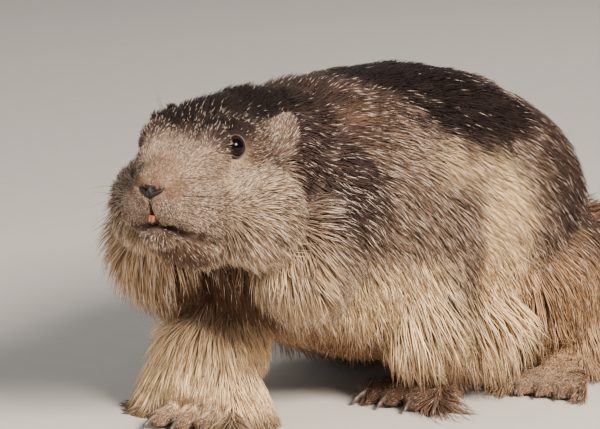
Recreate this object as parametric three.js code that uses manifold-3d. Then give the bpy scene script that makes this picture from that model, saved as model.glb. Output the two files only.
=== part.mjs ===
// A life-size alpine marmot, low on all fours with its head up and turned a little to its left.
// Millimetres. X is the animal's left, Y runs back to the tail, Z is up, and the feet stand on Z = 0.
import * as THREE from "three";
import { mergeVertices } from "three/addons/utils/BufferGeometryUtils.js";
import Module from "manifold-3d";

const wasm = await Module();
wasm.setup();

// Driving sizes
const GAP = 0.35; // air between two touching parts
const NECK_CUT_Y = -22; // where the neck meets the torso
const LOIN_CUT_Y = 112; // where the torso meets the hindquarters
const PROBE = 0.05; // step used to read a field's slope

// The torso's cross-sections, from chest to rump: x and z of the middle, half width and half height
const TRUNK = [
  { y: -74, x: 0, z: 118, w: 6, h: 6 },
  { y: -60, x: 1, z: 120, w: 40, h: 38 },
  { y: -36, x: 1, z: 122, w: 63, h: 62 },
  { y: 0, x: 0, z: 118, w: 77, h: 77 },
  { y: 45, x: -1, z: 110, w: 86, h: 88 },
  { y: 95, x: -1, z: 108, w: 92, h: 89 },
  { y: 140, x: 0, z: 105, w: 91, h: 84 },
  { y: 182, x: 0, z: 99, w: 79, h: 73 },
  { y: 213, x: 0, z: 92, w: 54, h: 53 },
  { y: 230, x: 0, z: 87, w: 6, h: 6 },
];

// The head in its own frame: origin at the nose tip, y back along the skull
const HEAD_AT = new THREE.Vector3(24, -158, 159);
const HEAD_TURN = { yaw: 11, pitch: 8, roll: 1 }; // to its left, nose up, right side up
const HEAD_CUT = 94; // where the head meets the neck, behind the nose tip
const SKULL = [
  { y: -3, z: -3, w: 5, h: 6 },
  { y: 1, z: -5, w: 13, h: 12 },
  { y: 12, z: -4, w: 18, h: 18 },
  { y: 29, z: 0, w: 22, h: 25 },
  { y: 46, z: 4, w: 29, h: 34 },
  { y: 66, z: 4, w: 37, h: 40 },
  { y: 88, z: 2, w: 42, h: 42 },
  { y: 110, z: -2, w: 38, h: 38 },
  { y: 128, z: -4, w: 8, h: 8 },
];
const EYE = { y: 45.5, z: 22, r: 7, proud: 2.1, out: [0.89, -0.4, 0.22] };
const LID = { ring: 6.6, thick: 1.4, tall: 0.86 };
const EAR = { x: 35, y: 79, z: 29, tall: 14, wide: 11, thick: 5, turn: [-6, 28, 40] };
const NOSE = { y: 1, z: 0, wide: 9, deep: 4.6, tall: 6 };
const NOSTRIL = { x: 5, y: -3, z: -0.4, wide: 3.4, deep: 3.2, tall: 1.4, slant: 24 };
const MOUTH = { y: 31, z: -28.2, slope: 15.5, gape: 1.7, wide: 34 };
const INCISOR = { wide: 1.8, deep: 2.2, tall: 7, y: 1.6, z: -16.8 };

// Paws: the palm's half sizes, the toes' reach and radius, and their claws
const FORE = {
  palm: [19, 25, 12], back: 0, toes: 4, fan: 13, step: 9.6, root: -11, reach: 24, thick: 6, claw: 14,
};
const HIND = {
  palm: [17, 40, 12], back: 16, toes: 5, fan: 10, step: 8, root: -16, reach: 21, thick: 5.4, claw: 11,
};
const CLAW = { wide: 1.9, tall: 2.7, sides: 5, rings: 3, droop: 40, tip: 0.25 };

// Fields: each gives the distance from a point to a surface, negative inside it
const matrixOf = (at, turn = [0, 0, 0]) =>
  new THREE.Matrix4().compose(
    at,
    new THREE.Quaternion().setFromEuler(new THREE.Euler(...turn.map(THREE.MathUtils.degToRad), "ZYX")),
    new THREE.Vector3(1, 1, 1),
  );

function ellipsoid(x, y, z, rx, ry, rz, turn) {
  const inverse = matrixOf(new THREE.Vector3(x, y, z), turn).invert();
  const local = new THREE.Vector3();
  return (p) => {
    local.copy(p).applyMatrix4(inverse);
    const far = Math.hypot(local.x / rx, local.y / ry, local.z / rz);
    const slope = Math.hypot(local.x / rx ** 2, local.y / ry ** 2, local.z / rz ** 2);
    return slope < 1e-9 ? -Math.min(rx, ry, rz) : (far * (far - 1)) / slope;
  };
}

// A limb: a cone with round ends from a to b
function limb(a, ra, b, rb) {
  const from = new THREE.Vector3(...a);
  const axis = new THREE.Vector3(...b).sub(from);
  const length2 = axis.lengthSq();
  const local = new THREE.Vector3();
  return (p) => {
    local.copy(p).sub(from);
    const t = THREE.MathUtils.clamp(local.dot(axis) / length2, 0, 1);
    return local.addScaledVector(axis, -t).length() - (ra + (rb - ra) * t);
  };
}

// A body of elliptic cross-sections at rising y, joined smoothly
function sections(rows) {
  const smooth = (key) => (y) => {
    let i = rows.findIndex((r) => r.y > y) - 1;
    if (i < 0) i = y < rows[0].y ? 0 : rows.length - 2;
    const near = [i - 1, i, i + 1, i + 2].map((n) => THREE.MathUtils.clamp(n, 0, rows.length - 1));
    const [p0, p1, p2, p3] = near.map((n) => rows[n]);
    const span = p2.y - p1.y;
    const t = THREE.MathUtils.clamp((y - p1.y) / span, 0, 1);
    const m1 = (span * ((p2[key] ?? 0) - (p0[key] ?? 0))) / (p2.y - p0.y);
    const m2 = (span * ((p3[key] ?? 0) - (p1[key] ?? 0))) / (p3.y - p1.y);
    const [a, b] = [p1[key] ?? 0, p2[key] ?? 0];
    const ease = 3 * t ** 2 - 2 * t ** 3;
    return a + (b - a) * ease + (t ** 3 - 2 * t ** 2 + t) * m1 + (t ** 3 - t ** 2) * m2;
  };
  const [x, z, w, h] = ["x", "z", "w", "h"].map(smooth);
  const [first, last] = [rows[0].y, rows[rows.length - 1].y];
  return (p) => {
    const [rw, rh] = [Math.max(w(p.y), 2), Math.max(h(p.y), 2)];
    const [dx, dz] = [p.x - x(p.y), p.z - z(p.y)];
    const far = Math.hypot(dx / rw, dz / rh);
    const slope = Math.hypot(dx / rw ** 2, dz / rh ** 2);
    const side = slope < 1e-9 ? -Math.min(rw, rh) : (far * (far - 1)) / slope;
    return Math.max(side, first - p.y, p.y - last);
  };
}

const blend = (k, ...fields) => (p) =>
  fields.reduce((best, field) => {
    const d = field(p);
    if (best === null) return d;
    const h = Math.max(k - Math.abs(best - d), 0) / k;
    return Math.min(best, d) - (h * h * k) / 4;
  }, null);

// The same field, seen in a frame that sits at a place and is turned
function placed(field, matrix) {
  const inverse = matrix.clone().invert();
  const local = new THREE.Vector3();
  return (p) => field(local.copy(p).applyMatrix4(inverse));
}

function slopeOf(field, p) {
  const at = new THREE.Vector3();
  const here = field(p);
  const rise = ["x", "y", "z"].map((axis) => {
    at.copy(p)[axis] += PROBE;
    return (field(at) - here) / PROBE;
  });
  return new THREE.Vector3(...rise);
}

// Closed surface where the field is zero: a vertex for each grid cell it crosses, a quad for each edge.
// It is cut off flat just inside the box.
function surfaceOf(whole, box, cell) {
  const size = box.getSize(new THREE.Vector3());
  const middle = box.getCenter(new THREE.Vector3());
  const half = size.clone().multiplyScalar(0.5).subScalar(cell * 1.2);
  const field = (p) =>
    Math.max(
      whole(p),
      Math.abs(p.x - middle.x) - half.x,
      Math.abs(p.y - middle.y) - half.y,
      Math.abs(p.z - middle.z) - half.z,
    );
  const [nx, ny, nz] = size.toArray().map((s) => Math.ceil(s / cell) + 1);
  const index = (i, j, k) => (k * ny + j) * nx + i;
  const point = (i, j, k) => new THREE.Vector3(i, j, k).multiplyScalar(cell).add(box.min);
  const value = new Float64Array(nx * ny * nz);
  for (let k = 0; k < nz; k++)
    for (let j = 0; j < ny; j++)
      for (let i = 0; i < nx; i++) value[index(i, j, k)] = field(point(i, j, k));
  const corners = [0, 1, 2, 3, 4, 5, 6, 7].map((c) => [c & 1, (c >> 1) & 1, c >> 2]);
  const edges = corners.flatMap((a, m) =>
    [1, 2, 4].filter((bit) => !(m & bit)).map((bit) => [a, corners[m | bit]]),
  );
  const vertexOf = new Map();
  const positions = [];
  for (let k = 0; k < nz - 1; k++)
    for (let j = 0; j < ny - 1; j++)
      for (let i = 0; i < nx - 1; i++) {
        const sum = new THREE.Vector3();
        let crossed = 0;
        for (const [a, b] of edges) {
          const va = value[index(i + a[0], j + a[1], k + a[2])];
          const vb = value[index(i + b[0], j + b[1], k + b[2])];
          if (va < 0 === vb < 0) continue;
          const pa = point(i + a[0], j + a[1], k + a[2]);
          sum.add(pa.lerp(point(i + b[0], j + b[1], k + b[2]), va / (va - vb)));
          crossed++;
        }
        if (!crossed) continue;
        const p = sum.divideScalar(crossed);
        for (let step = 0; step < 2; step++) {
          const slope = slopeOf(field, p);
          const move = slope.multiplyScalar(-field(p) / Math.max(slope.lengthSq(), 0.2));
          p.add(move.clampLength(0, cell * 0.4));
        }
        vertexOf.set(index(i, j, k), positions.length / 3);
        positions.push(p.x, p.y, p.z);
      }
  const faces = [];
  const cells = [[0, 0], [1, 0], [1, 1], [0, 1]];
  for (let k = 1; k < nz - 1; k++)
    for (let j = 1; j < ny - 1; j++)
      for (let i = 1; i < nx - 1; i++)
        for (const axis of [0, 1, 2]) {
          const from = value[index(i, j, k)];
          const step = [0, 0, 0];
          step[axis] = 1;
          const to = value[index(i + step[0], j + step[1], k + step[2])];
          if (from < 0 === to < 0) continue;
          const ring = cells.map(([u, v]) => {
            const at = [i, j, k];
            at[(axis + 1) % 3] -= 1 - u;
            at[(axis + 2) % 3] -= 1 - v;
            return vertexOf.get(index(...at));
          });
          if (from >= 0) ring.reverse();
          faces.push(ring[0], ring[1], ring[2], ring[0], ring[2], ring[3]);
        }
  const geometry = new THREE.BufferGeometry();
  geometry.setAttribute("position", new THREE.Float32BufferAttribute(positions, 3));
  return geometry.setIndex(faces);
}

// Solids
function solidOf(geometry) {
  const bare = geometry.clone();
  for (const name of ["normal", "uv"]) bare.deleteAttribute(name);
  const merged = mergeVertices(bare, 1e-4);
  return new wasm.Manifold(
    new wasm.Mesh({
      numProp: 3,
      vertProperties: new Float32Array(merged.attributes.position.array),
      triVerts: new Uint32Array(merged.index.array),
    }),
  );
}

function geometryOf(solid) {
  const mesh = solid.getMesh();
  const geometry = new THREE.BufferGeometry();
  geometry.setAttribute("position", new THREE.BufferAttribute(mesh.vertProperties, 3));
  return geometry.setIndex(new THREE.BufferAttribute(mesh.triVerts, 1));
}

// The solid grown outwards by the gap, to cut its bed out of a neighbour
function grown(solid, by = GAP) {
  const geometry = geometryOf(solid);
  geometry.computeVertexNormals();
  const { position, normal } = geometry.attributes;
  for (let i = 0; i < position.count; i++)
    position.setXYZ(
      i,
      position.getX(i) + normal.getX(i) * by,
      position.getY(i) + normal.getY(i) * by,
      position.getZ(i) + normal.getZ(i) * by,
    );
  return solidOf(geometry);
}

const largest = (solid) => solid.decompose().reduce((a, b) => (a.volume() > b.volume() ? a : b));

// A box between two corners, as a solid
function block(low, high) {
  const box = new THREE.Box3(new THREE.Vector3(...low), new THREE.Vector3(...high));
  const size = box.getSize(new THREE.Vector3());
  const centre = box.getCenter(new THREE.Vector3());
  return solidOf(new THREE.BoxGeometry(size.x, size.y, size.z).translate(centre.x, centre.y, centre.z));
}

const both = (make) => [make(1), make(-1)];
const boxAround = (low, high) => new THREE.Box3(new THREE.Vector3(...low), new THREE.Vector3(...high));
const FAR = 900;

// Where a ray from inside a field first leaves it
function surfacePoint(field, from, direction) {
  const p = from.clone();
  for (let step = 0; step < 400 && field(p) < 0; step++) p.addScaledVector(direction, 0.5);
  return p;
}

const degrees = THREE.MathUtils.degToRad;
const ellipsoidSolid = (matrix, rx, ry, rz, across = 12, up = 8) =>
  solidOf(new THREE.SphereGeometry(1, across, up).scale(rx, ry, rz).applyMatrix4(matrix));
const at = (x, y, z, turn) => matrixOf(new THREE.Vector3(x, y, z), turn);

// Head, neck and trunk fields
const headMatrix = matrixOf(HEAD_AT, [-HEAD_TURN.pitch, HEAD_TURN.roll, HEAD_TURN.yaw]);
const skullField = blend(
  9,
  sections(SKULL),
  ...both((s) => ellipsoid(s * 10, 10, -10, 12, 12, 10)), // whisker pads
  ...both((s) => ellipsoid(s * 17, 31, -13, 15, 21, 17)), // sides of the muzzle
  ...both((s) => ellipsoid(s * 12, 29, 10, 11, 16, 11)), // sides of the bridge
  ...both((s) => ellipsoid(s * 30, 64, -12, 24, 30, 25)), // cheeks
  ...both((s) => ellipsoid(s * 16, 37, 21, 10, 11, 10)), // fronts of the brows
  ...both((s) => ellipsoid(s * 19, 50, 32, 11, 13, 7)), // brows
  ...both((s) => ellipsoid(s * 38, 72, -29, 21, 25, 25)), // jowls
  ellipsoid(0, 16, -28, 13, 14, 9), // chin
  ellipsoid(0, 50, -28, 27, 37, 17), // jaw
  ellipsoid(0, 73, 22, 34, 30, 27), // crown
);
const headField = placed(skullField, headMatrix);
const neckField = blend(
  24,
  limb([0, -42, 141], 48, [2, 8, 117], 73),
  ellipsoid(-42, -58, 106, 29, 34, 35), // ruff, right
  ellipsoid(39, -46, 107, 32, 34, 35), // ruff, left
);
const trunkField = blend(24, sections(TRUNK), neckField);
const bodyField = blend(14, trunkField, headField);

// A paw in its own frame: origin under the wrist, toes towards -y, sole flat on z = 0
const toeTurn = (paw, n) => degrees((n - (paw.toes - 1) / 2) * paw.fan);
const toeRoot = (paw, n) => [(n - (paw.toes - 1) / 2) * paw.step, paw.root, paw.thick + 4];
const toeTip = (paw, n) => {
  const [x, y] = toeRoot(paw, n);
  const turn = toeTurn(paw, n);
  return [x + Math.sin(turn) * paw.reach, y - Math.cos(turn) * paw.reach, paw.thick - 0.6];
};
function pawSolid(paw) {
  const palm = ellipsoidSolid(at(0, paw.back, paw.palm[2] - 2), ...paw.palm, 9, 6);
  const toes = Array.from({ length: paw.toes }, (_, n) => {
    const [root, tip] = [toeRoot(paw, n), toeTip(paw, n)].map((p) => new THREE.Vector3(...p));
    const along = tip.clone().sub(root);
    const toe = new THREE.CapsuleGeometry(paw.thick, along.length() - paw.thick, 1, 7);
    const up = new THREE.Vector3(0, 1, 0);
    const turn = new THREE.Quaternion().setFromUnitVectors(up, along.normalize());
    toe.scale(1, 1, 0.94).applyQuaternion(turn);
    return solidOf(toe.translate(...root.lerp(tip, 0.5).toArray()));
  });
  return toes.reduce((a, b) => a.add(b), palm).intersect(block([-FAR, -FAR, 0], [FAR, FAR, FAR]));
}

// A claw: rings that shrink along an arc, from a root inside the toe to a tip near the floor
function clawSolid(length, matrix) {
  const positions = [];
  const faces = [];
  for (let r = 0; r <= CLAW.rings; r++) {
    const t = r / CLAW.rings;
    const bend = degrees(CLAW.droop) * t;
    const size = 1 - t * (1 - CLAW.tip);
    const arm = length / degrees(CLAW.droop);
    const middle = [-arm * Math.sin(bend), -arm * (1 - Math.cos(bend))];
    for (let k = 0; k < CLAW.sides; k++) {
      const turn = (2 * Math.PI * k) / CLAW.sides;
      const rise = Math.cos(turn) * CLAW.tall * size;
      positions.push(
        Math.sin(turn) * CLAW.wide * size,
        middle[0] - rise * Math.sin(bend),
        middle[1] + rise * Math.cos(bend),
      );
    }
  }
  for (let r = 0; r < CLAW.rings; r++)
    for (let k = 0; k < CLAW.sides; k++) {
      const [a, b] = [r * CLAW.sides + k, r * CLAW.sides + ((k + 1) % CLAW.sides)];
      faces.push(a, b + CLAW.sides, b, a, a + CLAW.sides, b + CLAW.sides);
    }
  const last = CLAW.rings * CLAW.sides;
  for (let k = 1; k < CLAW.sides - 1; k++) faces.push(0, k, k + 1, last, last + k + 1, last + k);
  const geometry = new THREE.BufferGeometry();
  geometry.setAttribute("position", new THREE.Float32BufferAttribute(positions, 3));
  return solidOf(geometry.setIndex(faces).applyMatrix4(matrix));
}

// Legs: place and turn of each paw, and the fur-covered limb above it, cut level at its hem
const LEGS = {
  fore_right: {
    paw: FORE, x: -24, y: -44, yaw: 14, hem: 10,
    limb: blend(
      14,
      limb([-29, -14, 88], 32, [-25, -40, 42], 26),
      ellipsoid(-29, -43, 16, 51, 32, 27),
    ),
  },
  fore_left: {
    paw: FORE, x: 42, y: 72, yaw: 6, hem: 20,
    limb: blend(14, limb([49, 42, 68], 32, [43, 66, 31], 20)),
  },
  hind_left: {
    paw: HIND, x: 86, y: 146, yaw: 14, hem: 20,
    limb: blend(
      16,
      ellipsoid(61, 158, 68, 41, 53, 53, [20, 0, 0]),
      limb([68, 176, 44], 27, [79, 167, 26], 17),
    ),
  },
  hind_right: {
    paw: HIND, x: -72, y: 206, yaw: -10, hem: 20,
    limb: blend(
      16,
      ellipsoid(-56, 166, 66, 41, 51, 51, [20, 0, 0]),
      limb([-64, 205, 44], 27, [-72, 215, 26], 17),
    ),
  },
};

// Tail: bushy, drooping a little behind the rump
const TAIL_LINE = [[0, 206, 80], [1, 262, 70], [4, 330, 54], [7, 362, 46]];
const tailField = blend(
  12,
  limb(TAIL_LINE[0], 17, TAIL_LINE[1], 18),
  limb(TAIL_LINE[1], 18, TAIL_LINE[2], 16),
  limb(TAIL_LINE[2], 16, TAIL_LINE[3], 9),
);

// Long fur: rows of locks, each with the node that carries it.
// A row starts at points of an inner line, shared out along y from one end to the other and x from the
// middle, and shoots out at turns from straight down, in degrees, on both sides.
// Lie is the way the lock runs and lift its rise off the coat in degrees.
const LOCK = { thick: 2.6, sunk: 4, sag: 0.22, spread: 0.16, clear: 0.6 };
const BELLY = { node: "torso", wide: 21, count: 5 };
const FLANK = { node: "torso", wide: 24 };
const RUMP = { node: "rump", wide: 22 };
const LOCK_ROWS = [
  { ...BELLY, y: [-6, 100], z: [100, 92], turns: [28], lie: [0, 0.36, -0.93], long: 27, lift: 36 },
  { ...BELLY, y: [-8, 98], z: [104, 96], turns: [56], lie: [0, 0.42, -0.9], long: 33, lift: 22 },
  { ...FLANK, y: [-10, 92], z: [112, 112], turns: [92], lie: [0, 0.66, -0.74], long: 35, lift: 19, count: 4 },
  { ...FLANK, y: [-6, 92], z: [112, 112], turns: [142], lie: [0, 0.9, -0.4], long: 35, lift: 17, count: 2 },
  { ...RUMP, y: [132, 196], z: [100, 98], turns: [112, 156], lie: [0, 0.75, -0.6], long: 34, lift: 17, count: 2 },
  { ...RUMP, y: [196, 204], z: [96, 90], turns: [70], lie: [0.1, 0.5, -0.85], long: 28, lift: 20, count: 1 },
  { ...RUMP, y: [134, 196], z: [90, 90], turns: [20], lie: [0, 0.6, -0.8], long: 22, lift: 28, count: 3 },
  {
    node: "neck", y: [-44, -34], z: [108, 104], turns: [20, 50], lie: [0, 0.2, -0.98],
    long: 27, lift: 24, wide: 17, count: 1,
  },
  {
    node: "thigh_left", x: 40, y: [136, 186], z: [66, 60], turns: [66], lie: [0.05, 0.1, -0.99],
    long: 28, lift: 20, wide: 21, count: 3,
  },
  {
    node: "thigh_right", x: 40, y: [146, 196], z: [66, 60], turns: [66], lie: [0.05, 0.1, -0.99],
    long: 28, lift: 20, wide: 21, count: 3,
  },
];

// Rings of locks around each leg, at the given heights
const LEG_LOCKS = {
  fore_right: {
    from: [-27, -42], wide: 19, flare: 0.5, lift: 24,
    rows: [{ z: 52, count: 6, long: 30 }, { z: 27, count: 10, long: 24 }],
  },
  fore_left: { from: [43, 64], wide: 15, flare: 0.2, lift: 18, rows: [{ z: 34, count: 5, long: 20 }] },
  hind_left: { from: [78, 166], wide: 16, flare: 0.25, lift: 18, rows: [{ z: 30, count: 5, long: 18 }] },
  hind_right: { from: [-71, 210], wide: 16, flare: 0.25, lift: 18, rows: [{ z: 30, count: 5, long: 18 }] },
};

// Ruff on both sides of the head, in its frame, and rings of locks along the tail
const RUFF_ROWS = [
  { y: 60, turns: [24, 60], long: 21, wide: 14, lie: [0.12, 0.55, -0.83], lift: 20 },
  { y: 76, turns: [12, 40, 68, 96], long: 27, wide: 16, lie: [0.14, 0.5, -0.86], lift: 22 },
];
const TAIL_LOCKS = { rows: 4, around: 5, long: 40, wide: 17, lift: 22 };

// A lock: flat, four-sided and tapered, bent along its way, with its root sunk in the coat
function lockSolid({ root, out, lie, long, wide, lift, more = 0 }) {
  const along = lie.clone().addScaledVector(out, -lie.dot(out)).normalize();
  const way = along.clone().multiplyScalar(Math.cos(degrees(lift)));
  way.addScaledVector(out, Math.sin(degrees(lift)));
  const flat = new THREE.Vector3().crossVectors(way, out).normalize();
  const sag = (t) => -long * LOCK.sag * t * t;
  const point = (t) => root.clone().addScaledVector(way, long * t).addScaledVector(out, sag(t));
  const below = 3 + more;
  const fall = point(1);
  if (fall.z < below) long *= Math.max(0.3, (root.z - below) / (root.z - fall.z));
  const rings = [
    [-LOCK.sunk / long, 0.75],
    [0.32, 0.95],
    [0.74, 0.5],
  ];
  const positions = [];
  for (const [t, size] of rings) {
    const p = point(t);
    const half = (wide / 2) * size + more;
    const thick = (LOCK.thick / 2) * Math.sqrt(size) + more;
    for (const [u, v] of [[1, 0], [0, 1], [-1, 0], [0, -1]]) {
      const corner = p.clone().addScaledVector(flat, u * half).addScaledVector(out, v * thick);
      positions.push(...corner.toArray());
    }
  }
  positions.push(...point(1 + more / long).toArray());
  const faces = [0, 2, 1, 0, 3, 2];
  for (let r = 0; r < rings.length - 1; r++)
    for (let k = 0; k < 4; k++) {
      const [a, b] = [r * 4 + k, r * 4 + ((k + 1) % 4)];
      faces.push(a, b, b + 4, a, b + 4, a + 4);
    }
  const end = (rings.length - 1) * 4;
  for (let k = 0; k < 4; k++) faces.push(end + k, end + ((k + 1) % 4), end + 4);
  const geometry = new THREE.BufferGeometry();
  geometry.setAttribute("position", new THREE.Float32BufferAttribute(positions, 3));
  geometry.setIndex(faces);
  const made = solidOf(geometry);
  if (made.volume() > 0) return made;
  return solidOf(geometry.setIndex(faces.reverse()));
}

// Seeded draw, the same on every run
let seed = 7;
function draw(low, high) {
  seed = (seed * 16807) % 2147483647;
  return low + ((high - low) * seed) / 2147483647;
}

// Locks waiting for their node: each as it is, and a little thicker to part it from its neighbours
const tufts = new Map();
function plant(node, field, from, direction, lie, row) {
  const root = surfacePoint(field, from, direction.normalize());
  const out = slopeOf(field, root).normalize();
  const stray = new THREE.Vector3(draw(-1, 1), draw(-1, 1), draw(-0.5, 0.5));
  const shape = {
    root,
    out,
    lie: lie.clone().addScaledVector(stray, LOCK.spread).normalize(),
    long: row.long * draw(0.88, 1.12),
    wide: row.wide * draw(0.88, 1.12),
    lift: row.lift * draw(0.8, 1.2),
  };
  if (!tufts.has(node)) tufts.set(node, []);
  tufts.get(node).push({ thin: lockSolid(shape), thick: lockSolid({ ...shape, more: LOCK.clear }) });
}

const fieldUnder = (node) => {
  if (node.startsWith("thigh")) return LEGS[node.replace("thigh", "hind")].limb;
  return node === "neck" ? bodyField : trunkField;
};
for (const row of LOCK_ROWS)
  for (const s of [1, -1])
    for (const turn of row.turns)
      for (let n = 0; n < row.count; n++) {
        if (row.node.endsWith(s > 0 ? "_right" : "_left")) continue;
        const t = (n + draw(0.3, 0.7)) / row.count;
        const [y, z] = [row.y, row.z].map(([a, b]) => a + (b - a) * t);
        const from = new THREE.Vector3(s * (row.x ?? 0), y, z);
        const angle = degrees(turn + draw(-5, 5));
        const way = new THREE.Vector3(s * Math.sin(angle), 0, -Math.cos(angle));
        const lie = new THREE.Vector3(s * row.lie[0], row.lie[1], row.lie[2]);
        plant(row.node, fieldUnder(row.node), from, way, lie, row);
      }
for (const [name, { from, rows, wide, flare, lift }] of Object.entries(LEG_LOCKS))
  for (const row of rows)
    for (let n = 0; n < row.count; n++) {
      const angle = ((n + draw(-0.2, 0.2)) / row.count) * 2 * Math.PI;
      const out = new THREE.Vector3(Math.cos(angle), Math.sin(angle), 0);
      const lie = new THREE.Vector3(out.x * flare, out.y * flare * 0.7 - 0.1, -1);
      const node = name.replace("fore_", "foreleg_").replace("hind_", "thigh_");
      plant(node, LEGS[name].limb, new THREE.Vector3(...from, row.z), out, lie, { ...row, wide, lift });
    }
for (const row of RUFF_ROWS)
  for (const s of [1, -1])
    for (const turn of row.turns) {
      const angle = degrees(turn + draw(-4, 4));
      const from = new THREE.Vector3(0, row.y + draw(-3, 3), 0).applyMatrix4(headMatrix);
      const way = new THREE.Vector3(s * Math.sin(angle), 0, -Math.cos(angle));
      const lie = new THREE.Vector3(s * row.lie[0], row.lie[1], row.lie[2]);
      way.transformDirection(headMatrix);
      plant("head", bodyField, from, way, lie.transformDirection(headMatrix), row);
    }
for (let r = 0; r < TAIL_LOCKS.rows; r++)
  for (let n = 0; n < TAIL_LOCKS.around; n++) {
    const t = ((r + 0.35) / TAIL_LOCKS.rows) * 2.3 + 0.55;
    const k = Math.min(Math.floor(t), 2);
    const [a, b] = [TAIL_LINE[k], TAIL_LINE[k + 1]].map((p) => new THREE.Vector3(...p));
    const lie = b.clone().sub(a).normalize();
    const angle = ((n + 0.5 * (r % 2) + draw(-0.15, 0.15)) / TAIL_LOCKS.around) * 2 * Math.PI;
    const way = new THREE.Vector3(Math.cos(angle), 0, Math.sin(angle));
    const long = TAIL_LOCKS.long * (r === TAIL_LOCKS.rows - 1 ? 0.8 : 1);
    plant("tail", tailField, a.lerp(b, t - k), way, lie, { ...TAIL_LOCKS, long });
  }

const materials = {
  coat: new THREE.MeshStandardMaterial({ color: 0x8c765c, roughness: 0.9, metalness: 0 }),
  dark_coat: new THREE.MeshStandardMaterial({ color: 0x3a2c25, roughness: 0.9, metalness: 0 }),
  pale_coat: new THREE.MeshStandardMaterial({ color: 0xc9aa7c, roughness: 0.9, metalness: 0 }),
  eye: new THREE.MeshStandardMaterial({ color: 0x120c0a, roughness: 0.1, metalness: 0 }),
  nose: new THREE.MeshStandardMaterial({ color: 0x4a352d, roughness: 0.6, metalness: 0 }),
  claw: new THREE.MeshStandardMaterial({ color: 0x4b413d, roughness: 0.5, metalness: 0 }),
  tooth: new THREE.MeshStandardMaterial({ color: 0xd98a2b, roughness: 0.3, metalness: 0 }),
};
const marmot = new THREE.Group();
const cores = new Map();
function add(name, solid, material) {
  cores.set(name, { solid: largest(solid), material });
}

// Parts of the head, in the head's frame and then placed
const inHead = (solid) => solidOf(geometryOf(solid).applyMatrix4(headMatrix));
const eyes = new Map(
  both((s) => {
    const out = new THREE.Vector3(s * EYE.out[0], EYE.out[1], EYE.out[2]).normalize();
    const skin = surfacePoint(skullField, new THREE.Vector3(s * 8, EYE.y + 6, EYE.z - 4), out);
    const centre = skin.addScaledVector(out, EYE.proud - EYE.r);
    return [s > 0 ? "left" : "right", { centre, out }];
  }),
);
const lids = [...eyes.values()].map(({ centre, out }) => {
  const ring = new THREE.TorusGeometry(LID.ring, LID.thick, 6, 16).scale(1, LID.tall, 1.2);
  const facing = new THREE.Matrix4().lookAt(out, new THREE.Vector3(), new THREE.Vector3(0, 0, 1));
  facing.setPosition(centre.clone().addScaledVector(out, EYE.proud * 0.62));
  return solidOf(ring.applyMatrix4(facing));
});
const mouthBox = new THREE.BoxGeometry(MOUTH.wide * 2, MOUTH.y + 20, MOUTH.gape);
mouthBox.translate(0, -(MOUTH.y + 20) / 2, 0);
const mouthCut = solidOf(mouthBox.applyMatrix4(at(0, MOUTH.y, MOUTH.z, [-MOUTH.slope, 0, 0])));
const philtrumBox = new THREE.BoxGeometry(1.6, 8, 13).applyMatrix4(at(0, -1.5, -13.5, [12, 0, 0]));
const noseBall = (more) =>
  ellipsoidSolid(at(0, NOSE.y, NOSE.z), NOSE.wide + more, NOSE.deep + more, NOSE.tall + more);
const nostrils = both((s) => {
  const place = at(s * NOSTRIL.x, NOSTRIL.y, NOSTRIL.z, [0, s * NOSTRIL.slant, 0]);
  return ellipsoidSolid(place, NOSTRIL.wide, NOSTRIL.deep, NOSTRIL.tall, 8, 6);
});
const noseSolid = inHead(noseBall(0).subtract(nostrils[0].add(nostrils[1])));
const incisors = both((s) => {
  const tooth = new THREE.BoxGeometry(INCISOR.wide, INCISOR.deep, INCISOR.tall);
  return inHead(solidOf(tooth.translate((s * (INCISOR.wide + GAP)) / 2, INCISOR.y, INCISOR.z)));
});
const ears = both((s) => {
  const place = at(s * EAR.x, EAR.y, EAR.z, [EAR.turn[0], s * EAR.turn[1], s * EAR.turn[2]]);
  const shell = ellipsoidSolid(place, EAR.wide, EAR.thick, EAR.tall, 10, 7);
  const cup = place.clone().multiply(at(0, -EAR.thick * 0.95, 1.5));
  const hollow = ellipsoidSolid(cup, EAR.wide * 0.66, EAR.thick, EAR.tall * 0.68, 10, 6);
  return [s > 0 ? "left" : "right", inHead(shell.subtract(hollow))];
});

// Head and neck part along a plane square to the skull
const headCut = (low, high) => {
  const cutter = new THREE.BoxGeometry(FAR, high - low, FAR).translate(0, (low + high) / 2, 0);
  return solidOf(cutter.applyMatrix4(headMatrix));
};
let headSolid = solidOf(surfaceOf(bodyField, boxAround([-70, -190, 50], [110, -10, 240]), 8.2))
  .intersect(headCut(-100, HEAD_CUT - GAP / 2));
for (const lid of lids) headSolid = headSolid.add(inHead(lid));
for (const cut of [mouthCut, solidOf(philtrumBox), noseBall(GAP)])
  headSolid = headSolid.subtract(inHead(cut));
for (const [side, { centre }] of eyes) {
  const ball = (r) => inHead(ellipsoidSolid(at(...centre.toArray()), r, r, r, 12, 7));
  headSolid = headSolid.subtract(ball(EYE.r + GAP));
  add("eye_" + side, ball(EYE.r), materials.eye);
}
for (const [side, ear] of ears) {
  headSolid = headSolid.subtract(grown(ear));
  add("ear_" + side, ear, materials.coat);
}
incisors.forEach((tooth, n) => {
  headSolid = headSolid.subtract(grown(tooth));
  add("incisor_" + ["left", "right"][n], tooth, materials.tooth);
});
add("nose", noseSolid, materials.nose);

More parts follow.
